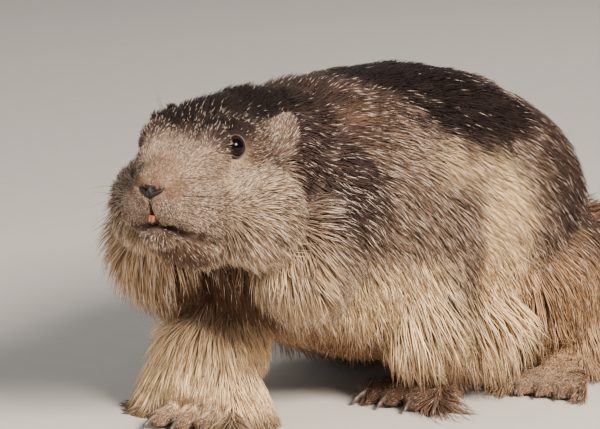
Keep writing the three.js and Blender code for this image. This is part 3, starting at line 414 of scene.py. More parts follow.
# Markings, each over those before it: place and half sizes of a soft patch, its cream, tawny, dark and grizzle (0 to 1),
# its strength, its frame and whether it serves both sides
TAWNY, DARK = (0.1, 0.9, 0, 0.15), (0, 0, 0.97, 0.01)
MARKS = [
    ("flank", (0, 70, 120), (130, 180, 110), (0.16, 0.06, 0.2, 0.85), 1, "body"),
    ("lower_flank", (0, 40, 30), (150, 150, 60), (0.75, 0.2, 0.02, 0.3), 0.95, "body"),
    ("low_shoulder", (76, -8, 80), (34, 50, 28), (1, 0, 0, 0.6), 1, "both"),
    ("rear_band", (90, 80, 106), (36, 25, 58), (1, 0, 0, 0.35), 0.92, "both"),
    ("band_foot", (84, 98, 58), (30, 27, 36), (0.95, 0.1, 0, 0.3), 0.95, "both"),
    ("band_start", (70, 56, 152), (26, 32, 14), (0.8, 0.2, 0.06, 0.6), 0.8, "both"),
    ("rump", (60, 178, 126), (70, 62, 66), (0, 0.15, 0.8, 0.25), 0.92, "both"),
    ("tail_root", (0, 226, 90), (40, 30, 40), (0, 0.5, 0.4, 0.2), 0.9, "body"),
    ("haunch", (92, 148, 48), (40, 48, 46), (0.5, 0.5, 0, 0.35), 0.95, "both"),
    ("haunch_rear", (-84, 190, 46), (40, 48, 46), (0.5, 0.5, 0, 0.35), 0.95, "body"),
    ("back", (0, 66, 206), (66, 140, 42), DARK, 0.98, "body"),
    ("upper_neck", (30, -8, 180), (38, 36, 22), (0, 0.25, 0.62, 0.35), 0.88, "both"),
    ("back_side", (52, 92, 174), (30, 56, 25), DARK, 0.93, "both"),
    ("nape", (0, -44, 196), (66, 48, 38), (0, 0.06, 0.84, 0.15), 0.9, "body"),
    ("neck_band", (64, -40, 152), (27, 28, 35), (0, 0, 0.85, 0.4), 0.85, "both"),
    ("nape_spot", (44, -14, 186), (14, 14, 12), TAWNY, 0.6, "both"),
    # The throat is tawny, and its darkness is painted shade from the chin and ruff above it
    ("throat_shade", (-2, -78, 76), (48, 46, 42), (0, 0.6, 0.72, 0.05), 0.97, "body"),
    # Painted shade: the chest's underside is darkened tawny where shade falls under the body
    ("chest_under_shade", (0, -20, 44), (60, 50, 26), (0, 0.7, 0.3, 0.1), 0.85, "body"),
    ("ruff_left", (48, -72, 92), (26, 36, 30), (0.6, 0.2, 0.1, 0.6), 0.9, "body"),
    ("ruff_right", (-54, -84, 96), (24, 36, 34), (0.5, 0.35, 0, 0.6), 0.9, "body"),
    ("fore_right_leg", (-26, -44, 34), (64, 46, 34), (0.9, 0.1, 0, 0.15), 0.97, "body"),
    ("fore_right_front", (-26, -72, 26), (56, 34, 24), (1, 0, 0, 0.25), 0.9, "body"),
    ("head", (0, 58, 0), (60, 66, 56), (0.16, 0, 0.04, 1), 1, "head"),
    ("cheek", (36, 56, -10), (26, 32, 24), (0.32, 0, 0.06, 1), 0.9, "head_both"),
    ("cheek_low", (34, 64, -38), (24, 32, 16), (0.7, 0.2, 0, 0.7), 0.85, "head_both"),
    ("muzzle_light", (24, 34, 0), (7, 11, 16), (0.5, 0, 0, 0.8), 0.7, "head_both"),
    ("crown", (0, 78, 46), (40, 42, 27), DARK, 0.97, "head"),
    ("forehead", (0, 37, 24), (33, 17, 14), (0, 0, 0.88, 0.25), 0.9, "head"),
    ("brow", (17, 47, 33), (18, 16, 9), (0, 0, 0.93, 0.14), 0.9, "head_both"),
    ("temple", (35, 66, 24), (13, 16, 14), (0.1, 0, 0.62, 0.6), 0.8, "head_both"),
    ("behind_ear", (38, 98, 20), (19, 17, 28), (0, 0, 0.8, 0.3), 0.85, "head_both"),
    ("bridge", (0, 26, 10), (26, 18, 16), (0.2, 0, 0, 0.7), 0.9, "head"),
    ("muzzle_side", (19, 24, -6), (14, 18, 14), (0.2, 0, 0.04, 0.9), 0.8, "head_both"),
    ("nose_top", (0, 4, 7), (10, 14, 10), (0.12, 0.3, 0.16, 0.3), 0.9, "head"),
    ("beside_nose", (11.5, 4, -2), (5, 8, 6), (0.1, 0.4, 0.25, 0.1), 0.7, "head_both"),
    ("upper_lip", (7, 0, -14), (10, 9, 9), (0.1, 0, 0.16, 0.7), 0.85, "head_both"),
    ("lip_edge", (0, 14, -23.6), (26, 22, 3.1), (0, 0.05, 0.9, 0.05), 0.85, "head"),
    ("philtrum", (0.5, 0, -12), (1, 8, 7), DARK, 0.85, "head"),
    # Painted shade: dark tawny under the chin, where shade falls on the throat
    ("chin_low_shade", (0, 16, -42), (28, 32, 12), (0, 0.4, 0.62, 0.1), 0.92, "head"),
    ("chin", (0, 3, -26.2), (10, 11, 3.8), (0.12, 0, 0.3, 0.9), 0.95, "head"),
    ("ear", (34.5, 76, 33), (9, 7.5, 12), (0.1, 0, 0.12, 0.7), 1, "head_both"),
    ("ear_right_tip", (-36, 76, 38), (13, 11, 10), DARK, 0.9, "head"),
    ("eye_below", (29, 42, 13.5), (8, 8, 2.4), (0.6, 0, 0, 0.6), 0.45, "head_both"),
    ("eye_corner", (30, 56, 18), (5, 6, 6), (0.1, 0.3, 0.55, 0.2), 0.7, "head_both"),
    ("ear_cup", (37, 74, 30), (5, 5, 7), (0, 0.2, 0.6, 0.3), 0.7, "head_both"),
    ("toes", (0, 0, 0), (400, 500, 14), (0.2, 0.3, 0.2, 0.3), 0.8, "body"),
    # Painted shade: the left forepaw is darkened where the belly's fringe shades it; the real paw is lighter
    ("paw_painted_shade", (44, 54, 10), (34, 44, 16), (0, 0.4, 0.5, 0.1), 0.75, "body"),
    ("tail", (0, 300, 66), (60, 70, 60), (0, 0.5, 0.45, 0.2), 1, "body"),
    ("tail_tip", (6, 380, 44), (60, 44, 50), DARK, 1, "body"),
]


def wavy(p, size, seed):
    """A smooth random value between about -1 and 1 at each point."""
    draw = np.random.default_rng(seed)
    total = np.zeros(len(p))
    for octave in range(5):
        k = draw.normal(size=3) / size * (1 + 0.6 * octave)
        total += np.sin(p @ k * 2.2 + draw.uniform(0, 6.28)) * 0.8 ** octave
    return total / 2.4


def marks_at(p):
    """Cream, tawny, dark and grizzle at points of the body's frame."""
    h = through(BODY_TO_HEAD, p)
    rough = 0.16 * wavy(p, 16, 3) + 0.07 * wavy(p, 6, 4)
    out = np.tile((0.2, 0.15, 0.15, 0.6), (len(p), 1))
    for _, place, size, target, strength, frame_name in MARKS:
        q = (h if frame_name.startswith("head") else p).copy()
        if frame_name.endswith("both"):
            q[:, 0] = np.abs(q[:, 0])
        far = np.sqrt((((q - place) / size) ** 2).sum(1)) + rough
        weight = strength * smoothstep(1.25, 0.7, far)
        out += (np.array(target) - out) * weight[:, None]
    return out


def guide_table():
    """Every guide on the sides that it serves, in the body's frame: places, lies, lengths, lifts and reaches."""
    rows = []
    tables = (BODY_GUIDES, Matrix(), True), (HEAD_GUIDES, HEAD, True), (LEG_GUIDES, Matrix(), False)
    for guides, matrix, mirrored in tables:
        for place, lie, *rest in guides:
            for side in (1, -1) if mirrored and place[0] else (1,):
                at = matrix @ Vector((side * place[0], *place[1:]))
                way = matrix.to_3x3() @ Vector((side * lie[0], *lie[1:]))
                rows.append((*at, *way.normalized(), *rest))
    return np.array(rows)


GUIDES = guide_table()


def groomed(p):
    """Lie, length and lift of the fur at points of the body's frame."""
    best = np.zeros((len(p), 5))
    for start in range(0, len(p), CHUNK):
        q = p[start:start + CHUNK]
        d2 = ((q[:, None] - GUIDES[None, :, :3]) ** 2).sum(2)
        w = np.exp(-d2 / (2 * GUIDES[:, 8] ** 2) * 1.6) / GUIDES[:, 8] + 1e-30
        w /= w.sum(1, keepdims=True)
        best[start:start + CHUNK, :3] = w @ GUIDES[:, 3:6]
        best[start:start + CHUNK, 3:5] = w @ GUIDES[:, 6:8]
    lie = unit(best[:, :3])
    h = through(BODY_TO_HEAD, p)
    for name in eye_at:
        away = h - eye_at[name]
        near = np.linalg.norm(away, axis=1)
        away = unit(away - (away @ np.array(eye_out[name]))[:, None] * np.array(eye_out[name]))
        lie += away @ np.array(HEAD.to_3x3()).T * (1.5 * smoothstep(15, 8.5, near))[:, None]
        best[:, 3] *= 0.5 + 0.5 * smoothstep(7, 13, near)
    return unit(lie), best[:, 3], np.radians(best[:, 4])


# Skin triangles and their weights for planting the coat
skin_mesh = skin.data
skin_mesh.calc_loop_triangles()
tri = triples(skin_mesh.loop_triangles, "vertices", np.int32)
skin_points = through(TO_BODY, points_of(skin_mesh))
normals = triples(skin_mesh.vertex_normals, "vector").astype(float)
corner = skin_points[tri]
area = 0.5 * np.linalg.norm(np.cross(corner[:, 1] - corner[:, 0], corner[:, 2] - corner[:, 0]), axis=1)
centre = corner.mean(1)
lie, length, lift = groomed(centre)
in_head = through(BODY_TO_HEAD, centre)
bare = (centre[:, 2] < 2.5).astype(float)
for name in eye_at:
    bare = np.maximum(bare, np.linalg.norm(in_head - eye_at[name], axis=1) < EYE_BARE)
hx, hy, hz = np.abs(in_head[:, 0]), in_head[:, 1], in_head[:, 2]
nose_top = 0.42 * (hx - 3) - 1.4
nose_tall = np.maximum(1.2, 5.8 - 1.2 * hx)
bare = np.maximum(bare, (hy < 7) & (hx < NOSE_BED["wide"]) & (hz < nose_top) & (hz > nose_top - nose_tall))
hx = np.abs(in_head[:, 0] - cleft_side(hz))
bare = np.maximum(bare, (hy < 8) & (hx < 0.7) & (hz < PHILTRUM["high"]) & (hz > PHILTRUM["low"]))
bare = np.maximum(bare, (np.abs(hz - mouth_height(hy) - 0.6) < 1.9 * smoothstep(31, 18, hy)) & (hy > -12))


def hair_width(length):
    return 0.28 + 0.018 * length


TUFTS = 146000
thick = area / (length * hair_width(length)) * (1 - bare) * (0.62 + 0.38 * smoothstep(8, 18, length))
chosen = np.searchsorted(np.cumsum(thick), (np.arange(TUFTS) + rng.uniform(0, 1, TUFTS)) / TUFTS * thick.sum())
chosen = np.minimum(chosen, len(tri) - 1)
a, b = rng.uniform(0, 1, (2, TUFTS))
flip = a + b > 1
a[flip], b[flip] = 1 - a[flip], 1 - b[flip]
mix = np.stack([1 - a - b, a, b], 1)
root = (skin_points[tri[chosen]] * mix[:, :, None]).sum(1)
normal = unit((normals[tri[chosen]] * mix[:, :, None]).sum(1))
lie, length, lift = groomed(root)
calm = 0.3 + 0.7 * smoothstep(12, 22, root[:, 2])[:, None]
lie += calm * (0.16 * rng.normal(size=lie.shape) + 0.22 * np.stack([wavy(root, 22, s) for s in (5, 6, 7)], 1))
lie = unit(lie - normal * (lie * normal).sum(1)[:, None])
length = length * rng.uniform(0.72, 1.18, TUFTS)
lift = lift * rng.uniform(0.7, 1.35, TUFTS) + np.radians(3) * wavy(root, 12, 8)
start = lie * np.cos(lift)[:, None] + normal * np.sin(lift)[:, None]
sag = np.array((0, 0, -0.14)) - 0.26 * normal
sag[:, 2] *= smoothstep(8, 26, length)
STEPS = (0, 0.33, 0.6, 1)
path = np.stack([root + length[:, None] * (t * start + t * t * sag * 0.6) for t in STEPS])
path[0] -= normal * 0.6

# Tufts lean together into locks, and none dips under the skin
heads = rng.permutation(TUFTS)[: TUFTS // TUFTS_TO_LOCK]
tree = kdtree.KDTree(len(heads))
for n, h in enumerate(heads):
    tree.insert(root[h], n)
tree.balance()
leader = np.array([heads[tree.find(r)[1]] for r in root])
pull = smoothstep(5, 28, length) * 0.42 + 0.06
shorter = (length / np.maximum(length[leader], 1))[:, None].clip(0, 1)
for step, t in enumerate(STEPS):
    path[step] += (path[step][leader] - path[step]) * (pull * t ** 1.3)[:, None] * shorter
surface = BVHTree.FromPolygons(skin_points.tolist(), tri.tolist())
for step in (1, 2, 3):
    least = np.minimum(0.35, 0.07 * length) + 0.035 * length
    for n, p in enumerate(path[step].tolist()):
        spot, facing, _, far = surface.find_nearest(p)
        if far < 40 and (Vector(p) - spot).dot(facing) < least[n]:
            path[step, n] = spot + facing * least[n]
edge_low, edge_high = through(TO_BODY, np.array([cad_low, cad_high]))
path = np.clip(path, (edge_low - OVER_CAD) * (1, 1, 0) + (0, 0, TIP_FLOOR), edge_high + OVER_CAD)
tone = rng.uniform(0, 1, (TUFTS, 2))
tone[:, 0] = 0.65 * tone[:, 0] + 0.35 * tone[leader, 0]
marks = marks_at(root)

# Each region of the coat is a piece of its own, unrolled round its own axis for its baked picture
in_head = through(BODY_TO_HEAD, root)
x, y, z = root.T
side = np.where(x < 0, "right", "left")
regions = np.char.add("flank_", side).astype("<U16")
for name, there in (("shoulder_", y < -8), ("rump_", y > 118)):
    regions[there] = np.char.add(name, side[there])
regions[y > 238] = "tail"
regions[(y < -6) & (z < 64) & (x < 22)] = "foreleg_right"
regions[(in_head[:, 1] < 88) & (z > 84)] = "head_back"
on_muzzle = (in_head[:, 1] < 56) & (z > 100)
regions[on_muzzle] = np.where(in_head[on_muzzle, 0] > 0, "face_left", "face_right")
regions[z < 17] = "feet"
WIDE = (0.6, 0.52, 0.36)  # half widths of a tuft's rings over its width
REGION_AXIS = {"head_back": (0, 60, 0), "face_left": (0, 30, -4), "face_right": (0, 30, -4), "tail": (2, 300, 65)}
TRUNK_AXIS = (0, 60, 105)


def unrolled(name, p, h):
    """Where each root lies when its region's skin is unrolled and laid flat, within the unit square."""
    q = h if name.startswith(("head", "face")) else p
    middle = REGION_AXIS.get(name, TRUNK_AXIS)
    if name == "feet":
        flat = np.stack([p[:, 0], p[:, 1] + 0.4 * p[:, 2]], 1)
    else:
        across = np.arctan2(q[:, 0] - middle[0], q[:, 2] - middle[2])
        if not name.endswith(("left", "right")):
            across = np.where(across < -3.1, across + 6.28, across)
        flat = np.stack([across, q[:, 1] + 0.3 * np.hypot(q[:, 0] - middle[0], q[:, 2] - middle[2])], 1)
    low, high = flat.min(0), flat.max(0)
    return 0.01 + 0.98 * (flat - low) / np.maximum(high - low, 1e-6)


def coat_piece(name, rows):
    """One mesh of three-sided tapering tufts."""
    count = len(rows)
    steps = (0, 1, 2, 3) if name.startswith(LONG_HAIRED) else (0, 2, 3)
    rings = len(steps) - 1
    widths = hair_width(length[rows]) * (1 + 0.25 * (tone[rows, 1] - 0.5))
    size = rings * 3 + 1
    verts = np.empty((count, size, 3))
    along, edge = np.empty((2, count, size))
    for r in range(rings):
        here, ahead = path[steps[r]][rows], path[steps[r + 1]][rows]
        way = unit(ahead - here)
        side = unit(np.cross(way, normal[rows]))
        up = np.cross(side, way)
        half = (widths * WIDE[min(steps[r], 2)])[:, None]
        for k, (s, u) in enumerate(((-1, -0.25), (0, 0.55), (1, -0.25))):
            verts[:, r * 3 + k] = here + side * half * s + up * half * u
            along[:, r * 3 + k] = STEPS[steps[r]]
            edge[:, r * 3 + k] = 0.5 + 0.5 * s
    verts[:, -1] = path[3][rows]
    along[:, -1], edge[:, -1] = 1, 0.5
    around = [(k, (k + 1) % 3) for k in range(3)]
    quads = [(r * 3 + k, r * 3 + m, r * 3 + 3 + m, r * 3 + 3 + k) for r in range(rings - 1) for k, m in around]
    tips = [((rings - 1) * 3 + k, (rings - 1) * 3 + m, rings * 3) for k, m in around]
    shift = (np.arange(count) * size)[:, None, None]
    quads = (np.array(quads)[None] + shift).reshape(-1, 4)
    tips = (np.array(tips)[None] + shift).reshape(-1, 3)
    mesh = bpy.data.meshes.new(name)
    mesh.vertices.add(count * size)
    set_points(mesh, through(BODY, verts.reshape(-1, 3)))
    loops = np.concatenate([quads.ravel(), tips.ravel()])
    sizes = np.concatenate([np.full(len(quads), 4), np.full(len(tips), 3)])
    mesh.loops.add(len(loops))
    mesh.polygons.add(len(sizes))
    mesh.loops.foreach_set("vertex_index", loops.astype(np.int32))
    mesh.polygons.foreach_set("loop_start", np.concatenate([[0], np.cumsum(sizes)[:-1]]).astype(np.int32))
    mesh.update(calc_edges=True)
    mesh.polygons.foreach_set("use_smooth", np.ones(len(sizes), bool))
    put_attribute(mesh, "marks", np.repeat(marks[rows], size, axis=0))
    tones = np.repeat(tone[rows], size, axis=0)
    put_attribute(mesh, "hair", np.stack([along.ravel(), tones[:, 0], tones[:, 1], np.ones(count * size)], 1))
    flat = unrolled(name, root[rows], in_head[rows])
    uv = np.repeat(flat, size, axis=0) + 0.003 * np.stack([edge.ravel() - 0.5, along.ravel() - 0.5], 1)
    layer = mesh.uv_layers.new(name="OFBake")
    layer.data.foreach_set("uv", uv[loops].astype(np.float32).ravel())
    piece = mesh_object(name, mesh=mesh)
    piece.data.materials.append(coat_material)
    return piece


def put_attribute(mesh, name, values):
    layer = mesh.attributes.new(name, "FLOAT_COLOR", "POINT")
    layer.data.foreach_set("color", values.astype(np.float32).ravel())


# Materials
def linear(r, g, b):
    """A colour given as it looks on screen, 0 to 255."""
    return tuple(((v / 255 + 0.055) / 1.055) ** 2.4 if v > 10 else v / 255 / 12.92 for v in (r, g, b)) + (1,)


class Nodes:
    """Short words for building a node tree."""

    def __init__(self, tree):
        self.tree = tree

    def add(self, kind, inputs=(), **values):
        """A new node with its values set and its inputs set or linked."""
        node = self.tree.nodes.new(kind)
        for key, value in values.items():
            setattr(node, key, value)
        for key, value in dict(inputs).items():
            if isinstance(value, bpy.types.NodeSocket):
                self.tree.links.new(value, node.inputs[key])
            else:
                node.inputs[key].default_value = value
        return node

    def blend(self, amount, a, b, kind="MIX"):
        inputs = {0: amount, 6: a, 7: b}
        return self.add("ShaderNodeMix", inputs, data_type="RGBA", blend_type=kind, clamp_factor=True).outputs[2]

    def darker(self, colour, amount):
        """A colour times a grey."""
        grey = self.add("ShaderNodeCombineColor", {0: amount, 1: amount, 2: amount}).outputs[0]
        return self.blend(1.0, colour, grey, "MULTIPLY")

    def math(self, kind, a, b=0.0, c=0.0):
        return self.add("ShaderNodeMath", {0: a, 1: b, 2: c}, operation=kind).outputs[0]

    def ramp(self, value, low, high, start=0.0, end=1.0):
        inputs = {0: value, 1: low, 2: high, 3: start, 4: end}
        return self.add("ShaderNodeMapRange", inputs, interpolation_type="SMOOTHSTEP", clamp=True).outputs[0]

    def noise(self, scale, detail):
        """Noise in the object's own coordinates."""
        place = self.add("ShaderNodeTexCoord").outputs["Object"]
        return self.add("ShaderNodeTexNoise", {"Vector": place, "Scale": scale, "Detail": detail}).outputs["Fac"]

    def bump(self, height, strength, distance):
        inputs = {"Height": height, "Strength": strength, "Distance": distance}
        return self.add("ShaderNodeBump", inputs).outputs["Normal"]


def new_group(name, inputs, outputs):
    tree = bpy.data.node_groups.new(name, "ShaderNodeTree")
    for title, kind in inputs:
        tree.interface.new_socket(title, in_out="INPUT", socket_type=kind)
    for title, kind in outputs:
        tree.interface.new_socket(title, in_out="OUTPUT", socket_type=kind)
    return tree, tree.nodes.new("NodeGroupInput"), tree.nodes.new("NodeGroupOutput")


def fur_colour_group():
    """Colour of a hair from the markings and from how far along the hair a point lies."""
    colours = {"Ground": (132, 106, 96), "Cream": (255, 222, 174), "Tawny": (168, 118, 74), "Dark": (16, 10, 11),
               "Pale tip": (244, 222, 200)}
    inputs = [("Marks", "NodeSocketColor")]
    inputs += [(name, "NodeSocketFloat") for name in ("Grizzle", "Along", "Tuft", "Tuft 2")]
    inputs += [(name, "NodeSocketColor") for name in colours]
    tree, given, put = new_group("fur_colour", inputs, [("Color", "NodeSocketColor"), ("Roughness", "NodeSocketFloat")])
    for item in tree.interface.items_tree:
        if item.name in colours:
            item.default_value = linear(*colours[item.name])
    n = Nodes(tree)
    s = given.outputs
    parts = n.add("ShaderNodeSeparateColor", {0: s["Marks"]})
    colour = n.blend(parts.outputs[0], s["Ground"], s["Cream"])
    colour = n.blend(parts.outputs[1], colour, s["Tawny"])
    colour = n.blend(parts.outputs[2], colour, s["Dark"])
    # Tufts differ and are darker at the foot. Of the grizzled ones, some have a pale band near the tip and some are dark
    colour = n.darker(colour, n.math("MULTIPLY_ADD", s["Tuft"], 0.64, 0.66))
    colour = n.darker(colour, n.ramp(s["Along"], 0.0, 0.5, 0.34, 1.0))
    chance = n.math("LESS_THAN", s["Tuft 2"], n.math("MULTIPLY", s["Grizzle"], 0.46))
    band = n.math("MULTIPLY", n.ramp(s["Along"], 0.55, 0.74), n.ramp(s["Along"], 1.06, 0.92, 0.4, 1.0))
    pale = n.math("MULTIPLY", chance, band)
    colour = n.blend(n.math("MULTIPLY", pale, 0.9), colour, s["Pale tip"])
    dusk = n.math("MULTIPLY", n.math("GREATER_THAN", s["Tuft 2"], 0.74), n.math("MULTIPLY", s["Grizzle"], 0.72))
    colour = n.blend(dusk, colour, s["Dark"])
    tree.links.new(colour, put.inputs["Color"])
    tree.links.new(n.ramp(s["Tuft"], 0.0, 1.0, 0.5, 0.72), put.inputs["Roughness"])
    return tree


FUR_COLOUR = fur_colour_group()


def new_material(name):
    material = bpy.data.materials.new(name)
    material.use_nodes = True
    tree = material.node_tree
    return material, Nodes(tree), tree.nodes["Principled BSDF"], tree.links


def fur_material(name, on_skin):
    """The shared fur colour, with a bump of its own for the skin and for the tufts."""
    material, n, shader, links = new_material(name)
    marks_in = n.add("ShaderNodeAttribute", attribute_name="marks")
    hair_in = n.add("ShaderNodeAttribute", attribute_name="hair")
    group = n.add("ShaderNodeGroup", node_tree=FUR_COLOUR)
    parts = n.add("ShaderNodeSeparateColor", {0: hair_in.outputs["Color"]})
    links.new(marks_in.outputs["Color"], group.inputs["Marks"])
    links.new(marks_in.outputs["Alpha"], group.inputs["Grizzle"])
    for key, socket in (("Along", parts.outputs[0]), ("Tuft", parts.outputs[1]), ("Tuft 2", parts.outputs[2])):
        links.new(socket, group.inputs[key])
    links.new(group.outputs["Color"], shader.inputs["Base Color"])
    links.new(group.outputs["Roughness"], shader.inputs["Roughness"])
    grain = n.noise(900.0 if on_skin else 1400.0, 4.0)
    links.new(n.bump(grain, 0.6 if on_skin else 0.2, 0.0006), shader.inputs["Normal"])
    shader.inputs["Specular IOR Level"].default_value = 0.05 if on_skin else 0.12
    return material


coat_material = fur_material("fur", False)
skin_material = fur_material("underfur", True)
skin.data.materials.append(skin_material)
put_attribute(skin.data, "marks", marks_at(skin_points))
face = smoothstep(92, 60, through(BODY_TO_HEAD, skin_points)[:, 1])
under = [0.1 + 0.16 * face, 0.28 + 0.12 * face + 0.25 * wavy(skin_points, 3, 11), 0.7 + 0 * face, 1 + 0 * face]
put_attribute(skin.data, "hair", np.stack(under, 1))
flesh = ["head", "neck", "torso", "rump", "tail"]
flesh += [f"{part}_{side}" for part in ("ear", "foreleg", "thigh", "forepaw", "hindfoot") for side in ("left", "right")]
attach(skin, "root")
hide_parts(*flesh)
for name in sorted(set(regions)):
    rows = np.flatnonzero(regions == name)
    most = 12500 if name.startswith(LONG_HAIRED) else 21000
    parts = np.array_split(rows, math.ceil(len(rows) / most))
    for n, part in enumerate(parts):
        piece = coat_piece(name if len(parts) == 1 else f"{name}_{n + 1}", part)
        piece.name = "fur_" + piece.name
        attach(piece, "root")


def simple_material(name, low, high, scale, rough, bump, coat=0.0, inside=False):
    """Two close colours mottled at a scale, with a fine bump, and painted shade, near black, where the mesh's "inside"
    is high.
    """
    material, n, shader, links = new_material(name)
    grain = n.noise(scale, 5.0)
    colour = n.blend(grain, linear(*low), linear(*high))
    if inside:
        deep = n.add("ShaderNodeAttribute", attribute_name="inside").outputs["Fac"]
        colour = n.blend(n.ramp(deep, 0.25, 0.75), colour, linear(9, 6, 6))
    links.new(colour, shader.inputs["Base Color"])
    links.new(n.ramp(grain, 0.3, 0.7, rough - 0.08, rough + 0.08), shader.inputs["Roughness"])
    links.new(n.bump(grain, bump, 0.0003), shader.inputs["Normal"])
    shader.inputs["Coat Weight"].default_value = coat
    return material


horn = simple_material("horn", (52, 43, 40), (110, 92, 80), 700, 0.4, 0.25)
# The nose pad's nostril slits are painted near black as painted shade
nose_skin = simple_material("nose_skin", (15, 10, 10), (38, 27, 25), 1500, 0.65, 0.8, inside=True)
lid_skin = simple_material("lid_skin", (20, 14, 13), (62, 47, 40), 1200, 0.5, 0.5)
enamel = simple_material("enamel", (112, 62, 28), (156, 102, 56), 500, 0.4, 0.1, 0.05)
whisker_hair = simple_material("whisker_hair", (24, 18, 17), (58, 44, 38), 300, 0.4, 0.05)


def eye_material():
    """Near black, with a dark brown ring round a wide pupil, under a clear wet coat.

    The mesh's "turn" is the angle off the eye's axis.
    """
    material, n, shader, links = new_material("eye")
    turn = n.add("ShaderNodeAttribute", attribute_name="turn").outputs["Fac"]
    iris = n.blend(n.noise(900.0, 3.0), linear(18, 11, 9), linear(44, 26, 18))
    colour = n.blend(n.ramp(turn, 0.5, 0.62), linear(5, 4, 4), iris)
    colour = n.blend(n.ramp(turn, 0.8, 1.0), colour, linear(10, 8, 8))
    links.new(colour, shader.inputs["Base Color"])
    wet = {"Roughness": 0.12, "Specular IOR Level": 0.08, "Coat Weight": 0.12, "Coat Roughness": 0.03}
    for key, value in wet.items():
        shader.inputs[key].default_value = value
    return material


def finished(piece, material, slot, *nodes):
    """The piece with its material, on the root body, standing in for the nodes that it replaces."""
    piece.data.materials.clear()
    piece.data.materials.append(material)
    piece.data.shade_smooth()
    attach(piece, "root")
    if nodes:
        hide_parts(*nodes)
    return piece


def eye_frame(name):
    """A frame at the eye: z outwards, y up, x back along the head on the left side."""
    out = eye_out[name]
    up = (Vector((0, 0.25, 1)) - out * out.dot(Vector((0, 0.25, 1)))).normalized()
    across = up.cross(out)
    turn = Matrix((across, up, out)).transposed().to_4x4()
    return Matrix.Translation(eye_at[name]) @ turn


def opening(angle, side):
    """Reach of the eye's opening in a direction: a drop with its low corner in front."""
    if side < 0:
        angle = math.pi - angle
    reach = 5.0
    # Each corner: its direction in degrees, what it adds and its breadth in degrees
    for corner, more, wide in ((216, 1.7, 26), (80, 0.9, 48), (-42, 1.0, 44)):
        off = (math.degrees(angle) - corner + 180) % 360 - 180
        reach += more * math.exp(-((off / wide) ** 2))
    return reach


def lids(name, side):
    """Both lids as one thin rounded rim that hugs the eyeball."""
    place = eye_frame(name)
    shape = bmesh.new()
    # How far each ring of the rim lies outside the opening and above the eyeball
    profile = [(-0.1, -0.15), (0.0, 0.32), (0.35, 0.58), (0.9, 0.5), (1.6, 0.05), (2.2, -1.2), (0.5, -0.9)]
    loops = []
    for wider, rise in profile:
        made = bmesh.ops.create_circle(shape, cap_ends=False, segments=48, radius=1)
        for v in made["verts"]:
            angle = math.atan2(v.co.y, v.co.x)
            turn = math.asin(min(opening(angle, side) / EYE_R, 0.96)) + wider / EYE_R
            far = EYE_R + rise + (0.2 if wider > 0 and math.sin(angle) > 0 else 0)
            across, up = far * math.sin(turn) * math.cos(angle), far * math.sin(turn) * math.sin(angle)
            v.co = (across, up, far * math.cos(turn))
        loops.append(list({e for v in made["verts"] for e in v.link_edges}))
    for a, b in zip(loops, loops[1:] + loops[:1]):
        bmesh.ops.bridge_loops(shape, edges=a + b)
    bmesh.ops.transform(shape, matrix=WORLD_HEAD @ place, verts=shape.verts)
    bmesh.ops.recalc_face_normals(shape, faces=shape.faces)
    piece = mesh_object("lids_" + name[4:], shape)
    applied(piece, ("SUBSURF", {"levels": 1, "render_levels": 1}))
    return finished(piece, lid_skin, "nose")


eye_glass = eye_material()
for side, name in ((1, "eye_left"), (-1, "eye_right")):
    shape = bmesh.new()
    bmesh.ops.create_uvsphere(shape, u_segments=40, v_segments=28, radius=EYE_R)
    layer = shape.verts.layers.float.new("turn")
    for v in shape.verts:
        angle = v.co.angle(Vector((0, 0, 1)))
        v[layer] = angle
        v.co *= 1 + 0.04 * max(0.0, 1 - (angle / 0.7) ** 2)  # the cornea
    bmesh.ops.transform(shape, matrix=WORLD_HEAD @ eye_frame(name), verts=shape.verts)
    finished(mesh_object("eyeball" + name[3:], shape), eye_glass, "eye", name)
    lids(name, side)

# Nose pad under the furred nose top: two slanting nostril slits and a groove that leads to the lip
shape = bmesh.new()
bmesh.ops.create_icosphere(shape, subdivisions=6, radius=1)
PAD = {"wide": 9.2, "deep": 5.1, "tall": 4.7, "at": (0, 1.9, -3.2)}
SLIT = {"wide": 1.0, "deep": 3.2}
slit_in, slit_out = Vector((2.3, 0, 0.9)), Vector((9.0, 0, 3.6))
# How deep in a nostril slit each point lies: this dents the slit and paints it near black as painted shade
inside = shape.verts.layers.float.new("inside")
for v in shape.verts:
    x, y, z = v.co
    v.co = Vector((x * PAD["wide"] * min(1, 0.26 + 0.5 * (z + 1)), y * PAD["deep"], z * PAD["tall"]))
    front = max(0.0, -y)
    flat = Vector((abs(v.co.x), 0, v.co.z))
    t = max(0.0, min(1.0, (flat - slit_in).dot(slit_out - slit_in) / (slit_out - slit_in).length_squared))
    off = (flat - slit_in.lerp(slit_out, t)).length
    v[inside] = math.exp(-((off / SLIT["wide"]) ** 2)) * smoothstep(0, 0.3, front)
    v.co.y += SLIT["deep"] * v[inside]
    v.co.y += 1.0 * math.exp(-((v.co.x / 0.7) ** 2)) * front * smoothstep(1, -2, v.co.z)
bmesh.ops.transform(shape, matrix=WORLD_HEAD @ Matrix.Translation(PAD["at"]), verts=shape.verts)
finished(mesh_object("nose_pad", shape), nose_skin, "nose", "nose")

# Upper incisors, side by side: only their tips show below the lip
shape = bmesh.new()
for side in (1, -1):
    place = Matrix.Translation((side * 0.8 + 1.1, 1.0, -17.9)) @ Matrix.Diagonal((1.5, 2.4, 3.6, 1))
    bmesh.ops.create_cube(shape, size=1, matrix=place)
bmesh.ops.bevel(shape, geom=shape.edges[:], offset=0.5, affect="EDGES", segments=3, profile=0.5, material=-1)
bmesh.ops.transform(shape, matrix=WORLD_HEAD, verts=shape.verts)
finished(mesh_object("incisors", shape), enamel, "tooth", "incisor_left", "incisor_right")

